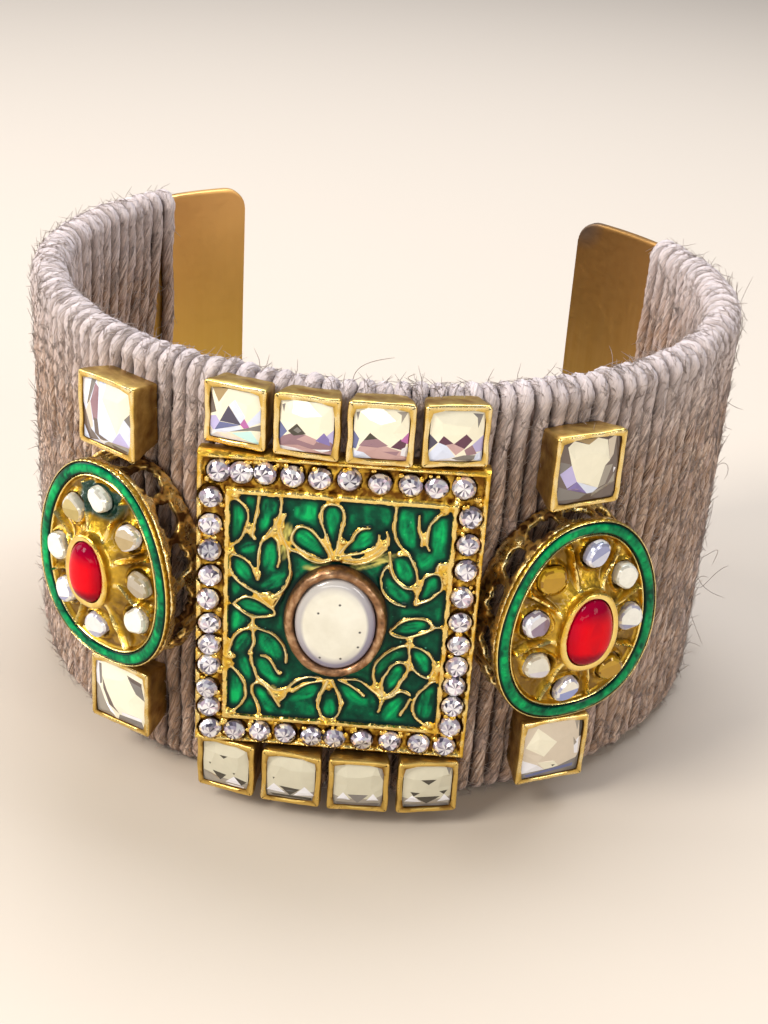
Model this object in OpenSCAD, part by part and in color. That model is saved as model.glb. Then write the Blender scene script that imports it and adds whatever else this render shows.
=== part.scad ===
// Rigid cuff bracelet: a brass strip bent to the wrist, wound with jute yarn and dressed on its front with
// an enamelled plaque, square mirror-cut stones in bezels and two egg-shaped medallions set with stones.
// It stands on its lower edge. The origin is the centre of the wrist hollow at floor level, +Z runs up
// along the hollow, and the plaque faces -Y. Angles round the cuff are counted from the front, right
// positive. Each jewel is drawn lying on the winding: x across, y up, z out from the crests of the turns.

/* [Cuff] */
// Outer width over the winding
cuff_w = 72; // [71:0.5:73]
// Height of the wound band
cuff_h = 42.5; // [42.5:0.5:44]
// How much the radius of the front arc is larger than that of the side arcs
flatness = 7; // [5:1:9]
// Thickness of the strip
strip_t = 1; // [0.8:0.1:1.2]
// Height of the strip
strip_h = 40.6; // [40:0.2:40.8]
// Angle at which the strip ends on both sides
strip_end = 151.5; // [148:0.5:153]
// Radius of the strip's free corners
strip_corner_r = 2.4; // [1:0.2:3]

/* [Winding] */
// Thickness of the yarn
yarn_d = 1.45; // [1.35:0.05:1.5]
// Distance from one turn to the next
turn_pitch = 1.5; // [1.5:0.05:1.8]
// Depth of the groove between two turns
groove = 0.4; // [0.2:0.05:0.45]
// Angle at which the winding ends on the left
winding_left = 132.5; // [128:0.5:134]
// Angle at which the winding ends on the right
winding_right = 128.8; // [126:0.2:132]

/* [Plaque] */
// Width of the plaque
plaque_w = 24.6; // [24.6:0.1:25]
// Height of the plaque
plaque_h = 29; // [29:0.1:29.2]
// Thickness of the plaque's plate
plate_t = 2.3; // [2.2:0.1:2.5]
// Width and height of the enamel field
field = [18.9, 22.4];
// Turn of the plaque about the vertical, to the right
plaque_turn = 2.9; // [0:0.1:3]
// Thickness of the raised leaf lines
line_t = 0.28; // [0.24:0.02:0.32]
// Width and height of the centre stone's bezel
bezel_size = [9, 10.9];

/* [Border stones] */
// Diameter of a border stone
border_d = 1.96; // [1.8:0.02:2]
// Number of border stones across, corners included
border_across = 10;
// Number of border stones down, corners included
border_down = 12;

/* [Square stones] */
// Side of a front bezel
front_bezel = 5.6; // [5.2:0.1:5.6]
// Side of a side bezel
side_bezel = 7; // [6.6:0.1:7]
// Wall of a square bezel
bezel_wall = 0.5; // [0.4:0.05:0.6]
// Distance from one front bezel to the next
front_pitch = 5.7; // [5.7:0.05:5.8]

/* [Medallions] */
// Width of a medallion
egg_w = 16.3; // [16:0.1:16.4]
// Height of a medallion
egg_h = 20.1; // [19.8:0.1:20.2]
// Height of its enamel face over the winding
egg_rise = 4.4; // [4.2:0.1:4.6]
// Number of windows round its side wall
windows = 14; // [10:1:14]
// Diameter of a small round stone
polki_d = 2.6; // [2.2:0.1:2.7]

/* [Hidden] */
// Air between two pieces
gap = 0.06;
// Air between a jewel's back and the winding
seat_gap = 0.08;
winding_t = strip_t / 2 + yarn_d;
// Direction from the front arc's centre to where it meets the right side arc, of length 1
join = [0.936, -0.352];
join_angle = atan2(join[0], -join[1]);
side_x = flatness * join[0];
front_y = -flatness * join[1];
side_r = cuff_w / 2 - winding_t - side_x;
front_r = side_r + flatness;
crest_r = front_r + winding_t;
strip_low = (cuff_h - strip_h) / 2;
front_len = front_r * join_angle * PI / 180;
band_mid = cuff_h / 2;
// x of the middle of the plaque and of both front rows, measured on the winding
front_x = 0.85;
plaque_z = band_mid + 0.85;
plaque_face = plate_t + 0.1;
// Centre of the enamel field and of the centre stone, from the plaque's own centre
field_y = -0.35;
stone_y = -0.8;
field_floor = plaque_face - 1;
enamel_t = 0.72;
// Rows of four along the plaque: height of the row's middle, height of the face over the winding
front_rows = [
    [cuff_h - front_bezel / 2, 3],
    [4.6, 3.7]
];
// Side bezels: angle, height, turn towards the front, height of the face
side_row = ["upper_right", "lower_right", "upper_left", "lower_left"];
side_places = [
    [32.8, 35.7, 0, 3.2],
    [33.3, 6.6, -5.5, 3.2],
    [-31.5, 36.3, 0, 3.2],
    [-30.4, 7.6, 5, 3.2]
];
// Medallions: angle, height, turn
egg_places = [
    [33.2, 21.3, -1.5],
    [-31, 22.1, 0.5]
];
sides = ["right", "left"];
// Width and height of the collar round each red stone
collar_sizes = [[5.8, 7.9], [5.2, 7.2]];
// Small round stones of each medallion, clockwise from the top: x, y
polki_places = [
    [[0.5, 7], [3.9, 4.3], [5, -0.2], [3.6, -5.2], [-0.8, -6.6], [-4, -3.5], [-4.8, 0.8], [-3.6, 5.1]],
    [[0.5, 6.9], [3.9, 4.2], [5.2, 0.1], [4.7, -3.9], [-0.4, -6.3], [-4.2, -4.2], [-5.1, 0.2], [-2.9, 4.9]]
];
// Raised leaves on the field: x, y of the middle, length, width, direction
leaves = [
    [-9.1, 8, 4.5, 2.1, 88], [-7.7, 9.7, 2.6, 1, 95], [-6, 8.9, 4.2, 2, 87],
    [-7.7, 5.9, 2.6, 1, 25], [-5.8, 5.2, 3.6, 1.8, 74], [-8, 3.4, 3.6, 1.7, 131],
    [-5.5, 2.2, 3.2, 1.5, 47], [-7.1, -0.2, 4, 1.7, 162], [-8.1, -3.3, 3.5, 1.6, 62],
    [-5.6, -4, 3.9, 1.9, 128], [-7.7, -6.3, 2.8, 1.2, 92], [-5.6, -6.9, 3.5, 1.5, 127],
    [-9.1, -9, 4.4, 2, 97], [-6, -10, 3, 1.6, 120], [-2.3, -8.5, 3.6, 1.5, 28],
    [2.3, -8.4, 3.6, 1.5, 150], [0, -10.2, 2.1, 1.5, 90], [4.8, -5.1, 3.4, 1.2, 55],
    [6.1, -6.8, 3.2, 1.5, 65], [7.9, -4.5, 3.6, 1.8, 124], [9, -8.8, 4.6, 2, 81],
    [6, -9.8, 3.1, 1.6, 53], [6.9, -1.1, 4, 1.7, 11], [6.3, 4.8, 3, 1.6, 127],
    [5.2, 2.5, 3.2, 1.4, 127], [8.1, 2.9, 3.2, 1.5, 59], [9, 8, 4.7, 1.9, 87],
    [5.9, 8.4, 4.4, 1.9, 103], [-0.4, 8.2, 4.8, 2, 92], [-2.8, 6.7, 3.8, 1.7, 145],
    [2.2, 7, 3.8, 1.7, 36]
];
// Raised stems: x, y of the middle, length, direction
stems = [
    [-0.7, -8.4, 2.2, 60], [0.7, -8.4, 2.2, 120], [-7.3, 7.7, 1.6, 100], [7.3, 8.4, 3, 95],
    [-7, -1.7, 1.2, 70], [7.9, -2.4, 1.4, 90], [-0.1, 5.4, 1.4, 90], [7.1, 3.6, 1, 100]
];

brass = [0.72, 0.55, 0.22];
gilt = [0.83, 0.64, 0.2];
copper = [0.66, 0.4, 0.27];
jute = [0.62, 0.54, 0.48];
green = [0.02, 0.42, 0.22];
clear = [0.9, 0.89, 0.86];
red = [0.8, 0.03, 0.08];

$fn = 64;

// Plan of the cuff: a front arc and two side arcs that run smoothly into it
function centre_at(a) = abs(a) <= join_angle ? [0, front_y] : [sign(a) * side_x, 0];
function radius_at(a) = abs(a) <= join_angle ? front_r : side_r;
// The point of height z at angle a, off the strip's middle line by out
function cuff_point(a, out, z) =
    let (p = centre_at(a) + (radius_at(a) + out) * [sin(a), -cos(a)]) [p[0], p[1], z];
// Length along the middle line from the front to an angle on a side arc
function length_to(a) = front_len + side_r * (a - join_angle) * PI / 180;
// The angle at which a length along the middle line, counted from the front, ends
function angle_at(len) =
    abs(len) <= front_len
        ? len / front_r * 180 / PI
        : sign(len) * (join_angle + (abs(len) - front_len) / side_r * 180 / PI);

// Places what lies on the winding: at an angle and a height, turned about the vertical
module on_cuff(a, z, turn = 0) {
    translate(cuff_point(a, winding_t, z))
        rotate([0, 0, a + turn])
            rotate([90, 0, 0])
                children();
}

// Cuts a jewel's back to the round of the winding
module seated(a, z, turn = 0) {
    difference() {
        on_cuff(a, z, turn) children();
        translate([0, front_y, -1]) cylinder(r = crest_r + seat_gap, h = cuff_h + 2, $fn = 240);
    }
}

module bar(size, low, high) {
    translate([-size[0] / 2, -size[1] / 2, low]) cube([size[0], size[1], high - low]);
}

// A bar whose upright edges are clipped by c
module clipped_bar(size, c, low, high) {
    x = size[0] / 2;
    y = size[1] / 2;
    translate([0, 0, low])
        linear_extrude(high - low)
            polygon([
                [x - c, -y], [x, c - y], [x, y - c], [x - c, y],
                [c - x, y], [-x, y - c], [-x, c - y], [c - x, -y]
            ]);
}

// A closed body through rings of equal length, each counterclockwise seen from above, the lowest first
module loft(rings) {
    n = len(rings[0]);
    last = (len(rings) - 1) * n;
    polyhedron(
        points = [for (r = rings, p = r) p],
        faces = concat(
            [[for (j = [0:n - 1]) j]],
            [for (i = [0:len(rings) - 2], j = [0:n - 1], half = [0, 1])
                let (a = i * n, b = a + n, k = (j + 1) % n)
                half == 0 ? [b + j, b + k, a + k] : [b + j, a + k, a + j]],
            [[for (j = [n - 1:-1:0]) last + j]]
        )
    );
}

function oval(size, n) = [
    for (i = [0:n - 1]) let (t = 360 * i / n) [size[0] / 2 * cos(t), size[1] / 2 * sin(t)]
];
function lifted(outline, z) = [for (p = outline) [p[0], p[1], z]];
function scaled(outline, k) = [for (p = outline) p * k];

// Strip: rings cut to sectors that share the joints' lines
module strip_ring(r) {
    difference() {
        circle(r = r + strip_t / 2, $fn = 180);
        circle(r = r - strip_t / 2, $fn = 180);
    }
}

module side_arc() {
    far = 2 * side_r;
    middle = (join_angle + strip_end) / 2;
    translate([side_x, 0])
        intersection() {
            strip_ring(side_r);
            polygon([
                [0, 0], far * join, far * [sin(middle), -cos(middle)], far * [sin(strip_end), -cos(strip_end)]
            ]);
        }
}

module strip_plan() {
    far = 2 * front_r;
    translate([0, front_y])
        intersection() {
            strip_ring(front_r);
            polygon([[0, 0], far * [-join[0], join[1]], [-far, -far], [far, -far], far * join]);
        }
    side_arc();
    mirror([1, 0]) side_arc();
}

module corner_cut(end, top) {
    z = top ? cuff_h - strip_low : strip_low;
    r = strip_corner_r;
    translate(cuff_point(end, 0, z))
        rotate([0, 0, end])
            rotate([90, 0, 0])
                translate([-sign(end) * r, top ? -r : r, -strip_t])
                    difference() {
                        translate([sign(end) > 0 ? 0 : -2 * r, top ? 0 : -2 * r, 0])
                            cube([2 * r, 2 * r, 2 * strip_t]);
                        translate([0, 0, -1]) cylinder(r = r, h = 2 * strip_t + 2);
                    }
}

module brass_cuff() {
    color(brass)
        difference() {
            translate([0, 0, strip_low]) linear_extrude(strip_h) strip_plan();
            for (end = [-strip_end, strip_end], top = [false, true]) corner_cut(end, top);
        }
}

// Winding: at each station a ring of points round the band and four points round the strip
roll_sides = 6;
function band_ring(a, depth) =
    let (
        r = winding_t - depth,
        hole = strip_t / 2 + gap,
        low = strip_low - gap,
        high = cuff_h - strip_low + gap
    )
    concat(
        [for (k = [0:roll_sides]) let (t = 180 * k / roll_sides)
            cuff_point(a, r * cos(t), cuff_h - winding_t + r * sin(t))],
        [for (k = [0:roll_sides]) let (t = 180 + 180 * k / roll_sides)
            cuff_point(a, r * cos(t), winding_t + r * sin(t))],
        [for (q = [[hole, high], [-hole, high], [-hole, low], [hole, low]]) cuff_point(a, q[0], q[1])]
    );

module jute_winding() {
    from = -length_to(winding_left);
    reach = length_to(winding_right) - from;
    turns = round(reach / turn_pitch);
    // One turn: part of the pitch, depth under the crest
    turn_shape = [[0, groove], [0.22, 0], [0.78, 0]];
    stations = concat(
        [for (i = [0:turns - 1], s = turn_shape) [from + reach * (i + s[0]) / turns, s[1]]],
        [[from + reach, groove]]
    );
    outer = 2 * (roll_sides + 1);
    half = outer / 2;
    inner = 4;
    n = outer + inner;
    last = (len(stations) - 1) * n;
    // The wall's end face: the outer points that each inner corner serves, first and last
    quarter = roll_sides / 2;
    fans = [[0, quarter], [quarter, roll_sides], [half, half + quarter], [half + quarter, outer - 1]];
    end_face = concat(
        [for (g = [0:inner - 1], j = [fans[g][0]:fans[g][1] - 1]) [j, j + 1, outer + g]],
        [for (g = [0:inner - 1]) let (h = (g + 1) % inner) [fans[g][1], fans[h][0], outer + h, outer + g]]
    );
    color(jute)
        polyhedron(
            points = [for (s = stations, p = band_ring(angle_at(s[0]), s[1])) p],
            faces = concat(
                [for (f = end_face) [for (k = [len(f) - 1:-1:0]) f[k]]],
                [for (f = end_face) [for (v = f) last + v]],
                [for (i = [0:len(stations) - 2], j = [0:outer - 1])
                    let (a = i * n, k = (j + 1) % outer) [a + j, a + k, a + n + k, a + n + j]],
                [for (i = [0:len(stations) - 2], j = [0:inner - 1])
                    let (a = i * n + outer, k = (j + 1) % inner) [a + j, a + n + j, a + n + k, a + k]]
            )
        );
}

// Plaque: its rim stands round the channel of the border stones
rim = 0.42;
border_x = plaque_w / 2 - rim - border_d / 2;
border_y = plaque_h / 2 - rim - border_d / 2;
border_depth = 0.95;
border_h = 1.2;
border_seat = plaque_face - border_depth;
oval_points = 40;
// Every place of a border stone, corners once
border_places = concat(
    [for (i = [0:border_across - 1], s = [-1, 1])
        [border_x * (2 * i / (border_across - 1) - 1), s * border_y]],
    [for (i = [1:border_down - 2], s = [-1, 1])
        [s * border_x, border_y * (2 * i / (border_down - 1) - 1)]]
);

module on_plaque() {
    on_cuff(asin(front_x / crest_r), plaque_z, plaque_turn) children();
}

module field_square(inset) {
    translate([0, field_y]) square([field[0] - 2 * inset, field[1] - 2 * inset], center = true);
}

// A pointed leaf between two arcs, lying along x
module leaf(length, width) {
    r = (length * length + width * width) / (4 * width);
    intersection() {
        translate([0, width / 2 - r]) circle(r = r);
        translate([0, r - width / 2]) circle(r = r);
    }
}

// The leaf outlines and stems, made wider on both sides by extra; a tip draws in further than a side
module leaf_lines(extra) {
    tip = 2;
    for (f = leaves)
        translate([f[0], f[1]])
            rotate(f[4])
                difference() {
                    leaf(f[2] + 2 * tip * extra, f[3] + 2 * extra);
                    leaf(f[2] - 2 * tip * (line_t + extra), f[3] - 2 * (line_t + extra));
                }
    for (s = stems)
        translate([s[0], s[1]])
            rotate(s[3])
                square([s[2] + 2 * extra, line_t + 2 * extra], center = true);
}

module plaque() {
    foot = [plaque_w - 5.6, plaque_h - 4];
    foot_low = -2.5;
    back = 0.05;
    corner = 0.5;
    channel = 0.4;
    inner_rim = 0.4;
    past = 1;
    sunk = 0.1;
    color(gilt)
        seated(asin(front_x / crest_r), plaque_z, plaque_turn)
            union() {
                difference() {
                    union() {
                        clipped_bar([plaque_w, plaque_h], corner, back, plaque_face);
                        bar(foot, foot_low, back + sunk);
                    }
                    // Channel of the border stones
                    difference() {
                        bar(2 * [border_x, border_y] + (border_d + 2 * gap) * [1, 1],
                            plaque_face - channel, plaque_face + past);
                        translate([0, field_y, 0])
                            bar(field + 2 * inner_rim * [1, 1], 0, plaque_face + 2 * past);
                    }
                    for (p = border_places)
                        translate([p[0], p[1], border_seat])
                            cylinder(d = border_d + 2 * gap, h = border_depth + past);
                    translate([0, field_y, 0]) bar(field, field_floor, plaque_face + past);
                }
                translate([0, 0, field_floor - sunk])
                    linear_extrude(plaque_face - field_floor + sunk / 2)
                        intersection() {
                            field_square(-sunk / 2);
                            leaf_lines(0);
                        }
            }
}

module plaque_enamel() {
    color(green)
        on_plaque()
            translate([0, 0, field_floor + gap])
                linear_extrude(enamel_t)
                    difference() {
                        field_square(gap);
                        leaf_lines(gap);
                        translate([0, stone_y]) polygon(oval(bezel_size + 4 * gap * [1, 1], oval_points));
                    }
}

// Centre setting: the bezel's cup and the opening of its wall
cup_floor = 0.5;
cup_rise = 0.9;
cup_inside = bezel_size - 1.8 * [1, 1];

module centre_bezel() {
    h = plaque_face + cup_rise - field_floor;
    color(copper)
        on_plaque()
            translate([0, stone_y, field_floor + gap])
                difference() {
                    linear_extrude(h) polygon(oval(bezel_size, oval_points));
                    translate([0, 0, cup_floor]) linear_extrude(h) polygon(oval(cup_inside, oval_points));
                }
}

module centre_stone() {
    outline = oval(cup_inside - 2 * gap * [1, 1], 24);
    low = field_floor + 2 * gap + cup_floor;
    // Share of the outline, height over the stone's foot
    profile = [[0.94, 0], [1, 0.3], [1, 1.35], [0.84, 1.75]];
    color(clear)
        on_plaque()
            translate([0, stone_y, low])
                loft([for (q = profile) lifted(scaled(outline, q[0]), q[1])]);
}

// The corners of a cut stone's table, half a step round from its girdle's
function star(r) = [for (i = [0:7]) let (t = 45 * (i + 0.5)) r * [cos(t), sin(t)]];

// A round cut stone: culet, girdle and table with its facets between
module round_stone(d, h) {
    culet = 0.7;
    girdle_at = 0.55;
    table = 0.58;
    ring = oval([d, d], 8);
    loft([lifted(scaled(ring, culet), 0), lifted(ring, girdle_at * h), lifted(star(table * d / 2), h)]);
}

module border_rhinestones() {
    color(clear)
        on_plaque()
            for (p = border_places)
                translate([p[0], p[1], border_seat + gap]) round_stone(border_d, border_h);
}

// Square settings
square_depth = 1.3;

module square_bezel(size, face) {
    corner = 0.3;
    base = -2;
    difference() {
        clipped_bar([size, size], corner, base, face);
        bar((size - 2 * bezel_wall) * [1, 1], face - square_depth, face + 1);
    }
}

module square_stone(size, face) {
    half = size / 2 - bezel_wall - gap;
    girdle = [for (q = [[1, 0], [1, 1], [0, 1], [-1, 1], [-1, 0], [-1, -1], [0, -1], [1, -1]]) half * q];
    loft([
        lifted(scaled(girdle, 0.9), face - square_depth + gap),
        lifted(girdle, face - 0.9),
        lifted(girdle, face - 0.35),
        lifted(star(0.66 * half), face + 0.15)
    ]);
}

module front_bezel_at(row, i) {
    color(gilt)
        seated(asin((front_x + (i - 2.5) * front_pitch) / crest_r), front_rows[row][0])
            square_bezel(front_bezel, front_rows[row][1]);
}

module front_stone_at(row, i) {
    color(clear)
        on_cuff(asin((front_x + (i - 2.5) * front_pitch) / crest_r), front_rows[row][0])
            square_stone(front_bezel, front_rows[row][1]);
}

module side_bezel_at(p) {
    color(gilt) seated(p[0], p[1], p[2]) square_bezel(side_bezel, p[3]);
}

module side_stone_at(p) {
    color(clear) on_cuff(p[0], p[1], p[2]) square_stone(side_bezel, p[3]);
}

// Medallions: an egg outline, narrow end up, drawn in from the rim by inset
egg_points = 40;
egg_full = 0.85;
egg_taper = 0.1;
function egg(inset, n = egg_points) = [
    for (i = [0:n - 1])
        let (t = 360 * i / n, c = cos(t), s = sin(t))
            let (w = sign(c) * pow(abs(c), egg_full) * (1 - egg_taper * s))
                [(egg_w / 2 - inset) * w, (egg_h / 2 - inset) * s]
];

module egg_block(inset, low, high) {
    translate([0, 0, low]) linear_extrude(high - low) polygon(egg(inset));
}

// The collar's outline: a small egg, drawn in by inset
function collar(side, inset, n = egg_points) =
    let (k = collar_sizes[side] - 2 * inset * [1, 1])
        [for (p = egg(0, n)) [p[0] * k[0] / egg_w, p[1] * k[1] / egg_h]];

module collar_block(side, inset, low, high) {
    translate([0, 0, low]) linear_extrude(high - low) polygon(collar(side, inset));
}

// The red stone's collar, the enamel ring and the domed ground between them, each as an inset of the egg
collar_wall = 0.4;
collar_top = egg_rise + 2;
red_depth = 1.2;
ring_inset = 0.35;
ring_w = 1;
ring_depth = 0.5;
dish_inset = ring_inset + ring_w + 0.35;
dish_low = egg_rise - 0.4;
dish_high = egg_rise + 1;
polki_low = dish_low + 0.15;
polki_h = 1.5;
// Width of a window in the side wall, its lowest and highest point
window_size = [2.5, 0.9, 2.9];
// Width of a rib, its start and its length from the middle outwards
rib = [0.4, 2.4, 7];

// An arched opening through the side wall
module window() {
    r = window_size[0] / 2;
    low = window_size[1];
    spring = window_size[2] - r;
    reach = 2;
    translate([0, reach, 0])
        rotate([90, 0, 0])
            linear_extrude(2 * reach)
                union() {
                    translate([-r, low]) square([2 * r, spring - low]);
                    translate([0, spring]) circle(r = r);
                }
}

module medallion_body_at(side) {
    p = egg_places[side];
    wall = 0.7;
    base = -2.5;
    under = egg_rise - 1.1;
    past = 1;
    outline = egg(0);
    sides_coarse = 24;
    // Ground between ring and collar: inset, height
    ground = [
        [dish_inset - 0.2, dish_low - 0.2],
        [dish_inset + 0.2, dish_low + 0.1],
        [dish_inset + 1.8, dish_high - 0.5]
    ];
    color(gilt)
        seated(p[0], p[1], p[2])
            difference() {
                union() {
                    difference() {
                        egg_block(0, base, egg_rise);
                        egg_block(wall, base - past, under);
                        egg_block(dish_inset, dish_low, egg_rise + past);
                    }
                    loft(concat(
                        [for (g = ground) lifted(egg(g[0], sides_coarse), g[1])],
                        [lifted(collar(side, 0, sides_coarse), dish_high)]
                    ));
                    collar_block(side, 0, under, collar_top);
                    // Ribs between the stones
                    for (i = [0:7]) {
                        a = polki_places[side][i];
                        b = polki_places[side][(i + 1) % 8];
                        m = (a + b) / 2;
                        intersection() {
                            egg_block(dish_inset - 0.1, dish_low - 0.3, dish_high + 0.35);
                            rotate([0, 0, atan2(m[1], m[0])])
                                translate([rib[1], -rib[0] / 2, dish_low - 0.2])
                                    cube([rib[2], rib[0], dish_high - dish_low]);
                        }
                    }
                }
                // Groove of the enamel ring
                difference() {
                    egg_block(ring_inset, egg_rise - ring_depth, egg_rise + past);
                    egg_block(ring_inset + ring_w, egg_rise - past, egg_rise + 2 * past);
                }
                collar_block(side, collar_wall, collar_top - red_depth, collar_top + past);
                for (q = polki_places[side])
                    translate([q[0], q[1], polki_low]) cylinder(d = polki_d + 2 * gap, h = 3 * past);
                for (i = [0:windows - 1]) {
                    k = floor(egg_points * (i + 0.5) / windows);
                    t = outline[(k + 1) % egg_points] - outline[(k - 1 + egg_points) % egg_points];
                    translate([outline[k][0], outline[k][1], 0])
                        rotate([0, 0, atan2(t[1], t[0])])
                            window();
                }
            }
}

module medallion_enamel_at(side) {
    p = egg_places[side];
    color(green)
        on_cuff(p[0], p[1], p[2])
            difference() {
                egg_block(ring_inset + gap, egg_rise - ring_depth + gap, egg_rise + gap);
                egg_block(ring_inset + ring_w - gap, egg_rise - 1, egg_rise + 1);
            }
}

module red_stone_at(side) {
    p = egg_places[side];
    low = collar_top - red_depth + gap;
    outline = collar(side, collar_wall + gap, 12);
    // Share of the outline, height over the stone's foot
    profile = [[0.9, 0], [0.98, 0.4], [0.98, 1.2], [0.82, 1.75], [0.45, 2.1]];
    color(red)
        on_cuff(p[0], p[1], p[2])
            translate([0, 0, low])
                loft([for (q = profile) lifted(scaled(outline, q[0]), q[1])]);
}

module polki_at(side, i) {
    p = egg_places[side];
    q = polki_places[side][i - 1];
    color(clear)
        on_cuff(p[0], p[1], p[2])
            translate([q[0], q[1], polki_low + gap]) round_stone(polki_d, polki_h);
}

brass_cuff();
jute_winding();
plaque();
plaque_enamel();
centre_bezel();
centre_stone();
border_rhinestones();
for (i = [1:4]) {
    front_bezel_at(0, i);
    front_stone_at(0, i);
    front_bezel_at(1, i);
    front_stone_at(1, i);
}
for (k = [0:3]) {
    side_bezel_at(side_places[k]);
    side_stone_at(side_places[k]);
}
for (s = [0:1]) {
    medallion_body_at(s);
    medallion_enamel_at(s);
    red_stone_at(s);
    for (i = [1:8])
        polki_at(s, i);
}
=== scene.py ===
# Kundan cuff bracelet: a brass strip wound with jute yarn, with an enamelled gilt plaque, square
# mirror-cut stones and two medallions. Lengths are in millimetres until a piece is finished.
import random
from math import asin, atan2, cos, degrees, hypot, pi, radians, sin, sqrt, tau

import bmesh
import bpy
import numpy as np
from mathutils import Matrix, Vector, geometry, noise


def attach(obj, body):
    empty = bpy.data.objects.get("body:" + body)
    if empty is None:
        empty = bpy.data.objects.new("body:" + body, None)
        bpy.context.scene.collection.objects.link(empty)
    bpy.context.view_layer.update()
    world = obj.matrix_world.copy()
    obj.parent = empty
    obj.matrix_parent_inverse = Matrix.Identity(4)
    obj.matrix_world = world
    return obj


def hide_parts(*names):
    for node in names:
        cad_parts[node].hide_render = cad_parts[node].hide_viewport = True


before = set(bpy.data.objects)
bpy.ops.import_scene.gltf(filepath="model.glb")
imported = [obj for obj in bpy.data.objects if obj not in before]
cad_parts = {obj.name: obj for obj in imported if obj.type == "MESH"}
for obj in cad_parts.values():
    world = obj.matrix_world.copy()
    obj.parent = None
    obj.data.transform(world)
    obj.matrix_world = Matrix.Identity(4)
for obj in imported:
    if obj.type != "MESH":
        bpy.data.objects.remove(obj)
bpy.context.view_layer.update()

scene = bpy.context.scene
noise.seed_set(4)  # the soft bends of the cups are the same in each run
toMetres = Matrix.Scale(0.001, 4)

# Plan of the cuff: a front arc that runs smoothly into two side arcs, angles counted from the front
cuff = {
    "flatness": 7, "joinDirection": (0.936, -0.352), "sideRadius": 27.498, "frontRadius": 34.498,
    "stripThickness": 1, "stripLow": 0.95, "stripHigh": 41.55, "stripEnd": 151.5, "stripCorner": 2.4,
    "windingLeft": 132.5, "windingRight": 128.8, "windingThickness": 1.95,
}
joinAngle = degrees(atan2(cuff["joinDirection"][0], -cuff["joinDirection"][1]))
sideCentre = cuff["flatness"] * cuff["joinDirection"][0]
frontCentre = -cuff["flatness"] * cuff["joinDirection"][1]
crestRadius = cuff["frontRadius"] + cuff["windingThickness"]
frontLength = cuff["frontRadius"] * radians(joinAngle)


def lengthTo(angle):  # along the strip's middle line, from the front
    side = cuff["sideRadius"] * radians(max(abs(angle) - joinAngle, 0))
    front = cuff["frontRadius"] * radians(min(abs(angle), joinAngle))
    return (front + side) * (1 if angle >= 0 else -1)


def angleAt(length):
    if abs(length) <= frontLength:
        return degrees(length / cuff["frontRadius"])
    side = degrees((abs(length) - frontLength) / cuff["sideRadius"])
    return (joinAngle + side) * (1 if length > 0 else -1)


def cuffPoint(angle, out, z):
    onFront = abs(angle) <= joinAngle
    radius = (cuff["frontRadius"] if onFront else cuff["sideRadius"]) + out
    x = 0 if onFront else (sideCentre if angle > 0 else -sideCentre)
    y = frontCentre if onFront else 0
    return Vector((x + radius * sin(radians(angle)), y - radius * cos(radians(angle)), z))


def onCuff(angle, z, turn=0):  # where a jewel lies: x across, y up, z out from the crests of the yarn
    return (Matrix.Translation(cuffPoint(angle, cuff["windingThickness"], z))
            @ Matrix.Rotation(radians(angle + turn), 4, "Z") @ Matrix.Rotation(radians(90), 4, "X"))


def angleOver(x):  # the angle of a jewel whose middle is at x on the front
    return degrees(asin(x / crestRadius))


# Camera at the photograph's viewing angle
def makeCamera():
    view = {"place": (0.015198, -0.153719, 0.093168), "yaw": 0.0897945, "pitch": 0.4756809,
            "roll": 0.0675796, "focal": 1576.475, "tall": 1024, "sensor": 36}
    yaw, pitch, roll = view["yaw"], view["pitch"], view["roll"]
    forward = Vector((-sin(yaw) * cos(pitch), cos(yaw) * cos(pitch), -sin(pitch)))
    right = Vector((cos(yaw), sin(yaw), 0))
    up = right.cross(forward)
    across = cos(roll) * right + sin(roll) * up
    upward = -sin(roll) * right + cos(roll) * up
    data = bpy.data.cameras.new("camera")
    data.sensor_width = view["sensor"]
    data.lens = view["focal"] / view["tall"] * view["sensor"]
    data.clip_start = 0.005
    camera = bpy.data.objects.new("camera", data)
    camera.matrix_world = Matrix.Translation(view["place"]) @ Matrix(
        (across, upward, -forward)).transposed().to_4x4()
    scene.collection.objects.link(camera)
    scene.camera = camera


makeCamera()
print("camera ready")


# Shader helpers: a node with its settings and its inputs, which are values or sockets of other nodes
def addNode(tree, kind, inputs=None, **settings):
    node = tree.nodes.new(kind)
    for name, value in settings.items():
        setattr(node, name, value)
    for name, value in (inputs or {}).items():
        if isinstance(value, bpy.types.NodeSocket):
            tree.links.new(value, node.inputs[name])
        else:
            node.inputs[name].default_value = value
    return node


def maths(tree, operation, a, b=0.0, clamp=False):
    return addNode(tree, "ShaderNodeMath", {0: a, 1: b}, operation=operation, use_clamp=clamp).outputs[0]


def blend(tree, factor, a, b, mode="MIX"):
    a, b = (v if isinstance(v, bpy.types.NodeSocket) else (*v, 1) for v in (a, b))
    return addNode(tree, "ShaderNodeMix", {0: factor, 6: a, 7: b}, data_type="RGBA",
                   blend_type=mode).outputs[2]


def spread(tree, value, low, high, toLow=0.0, toHigh=1.0):
    return addNode(tree, "ShaderNodeMapRange", {"Value": value, "From Min": low, "From Max": high,
                                                "To Min": toLow, "To Max": toHigh}).outputs[0]


def attribute(tree, name, output="Fac"):
    return addNode(tree, "ShaderNodeAttribute", attribute_name=name).outputs[output]


def objectPlace(tree):
    return addNode(tree, "ShaderNodeTexCoord").outputs["Object"]


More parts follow.
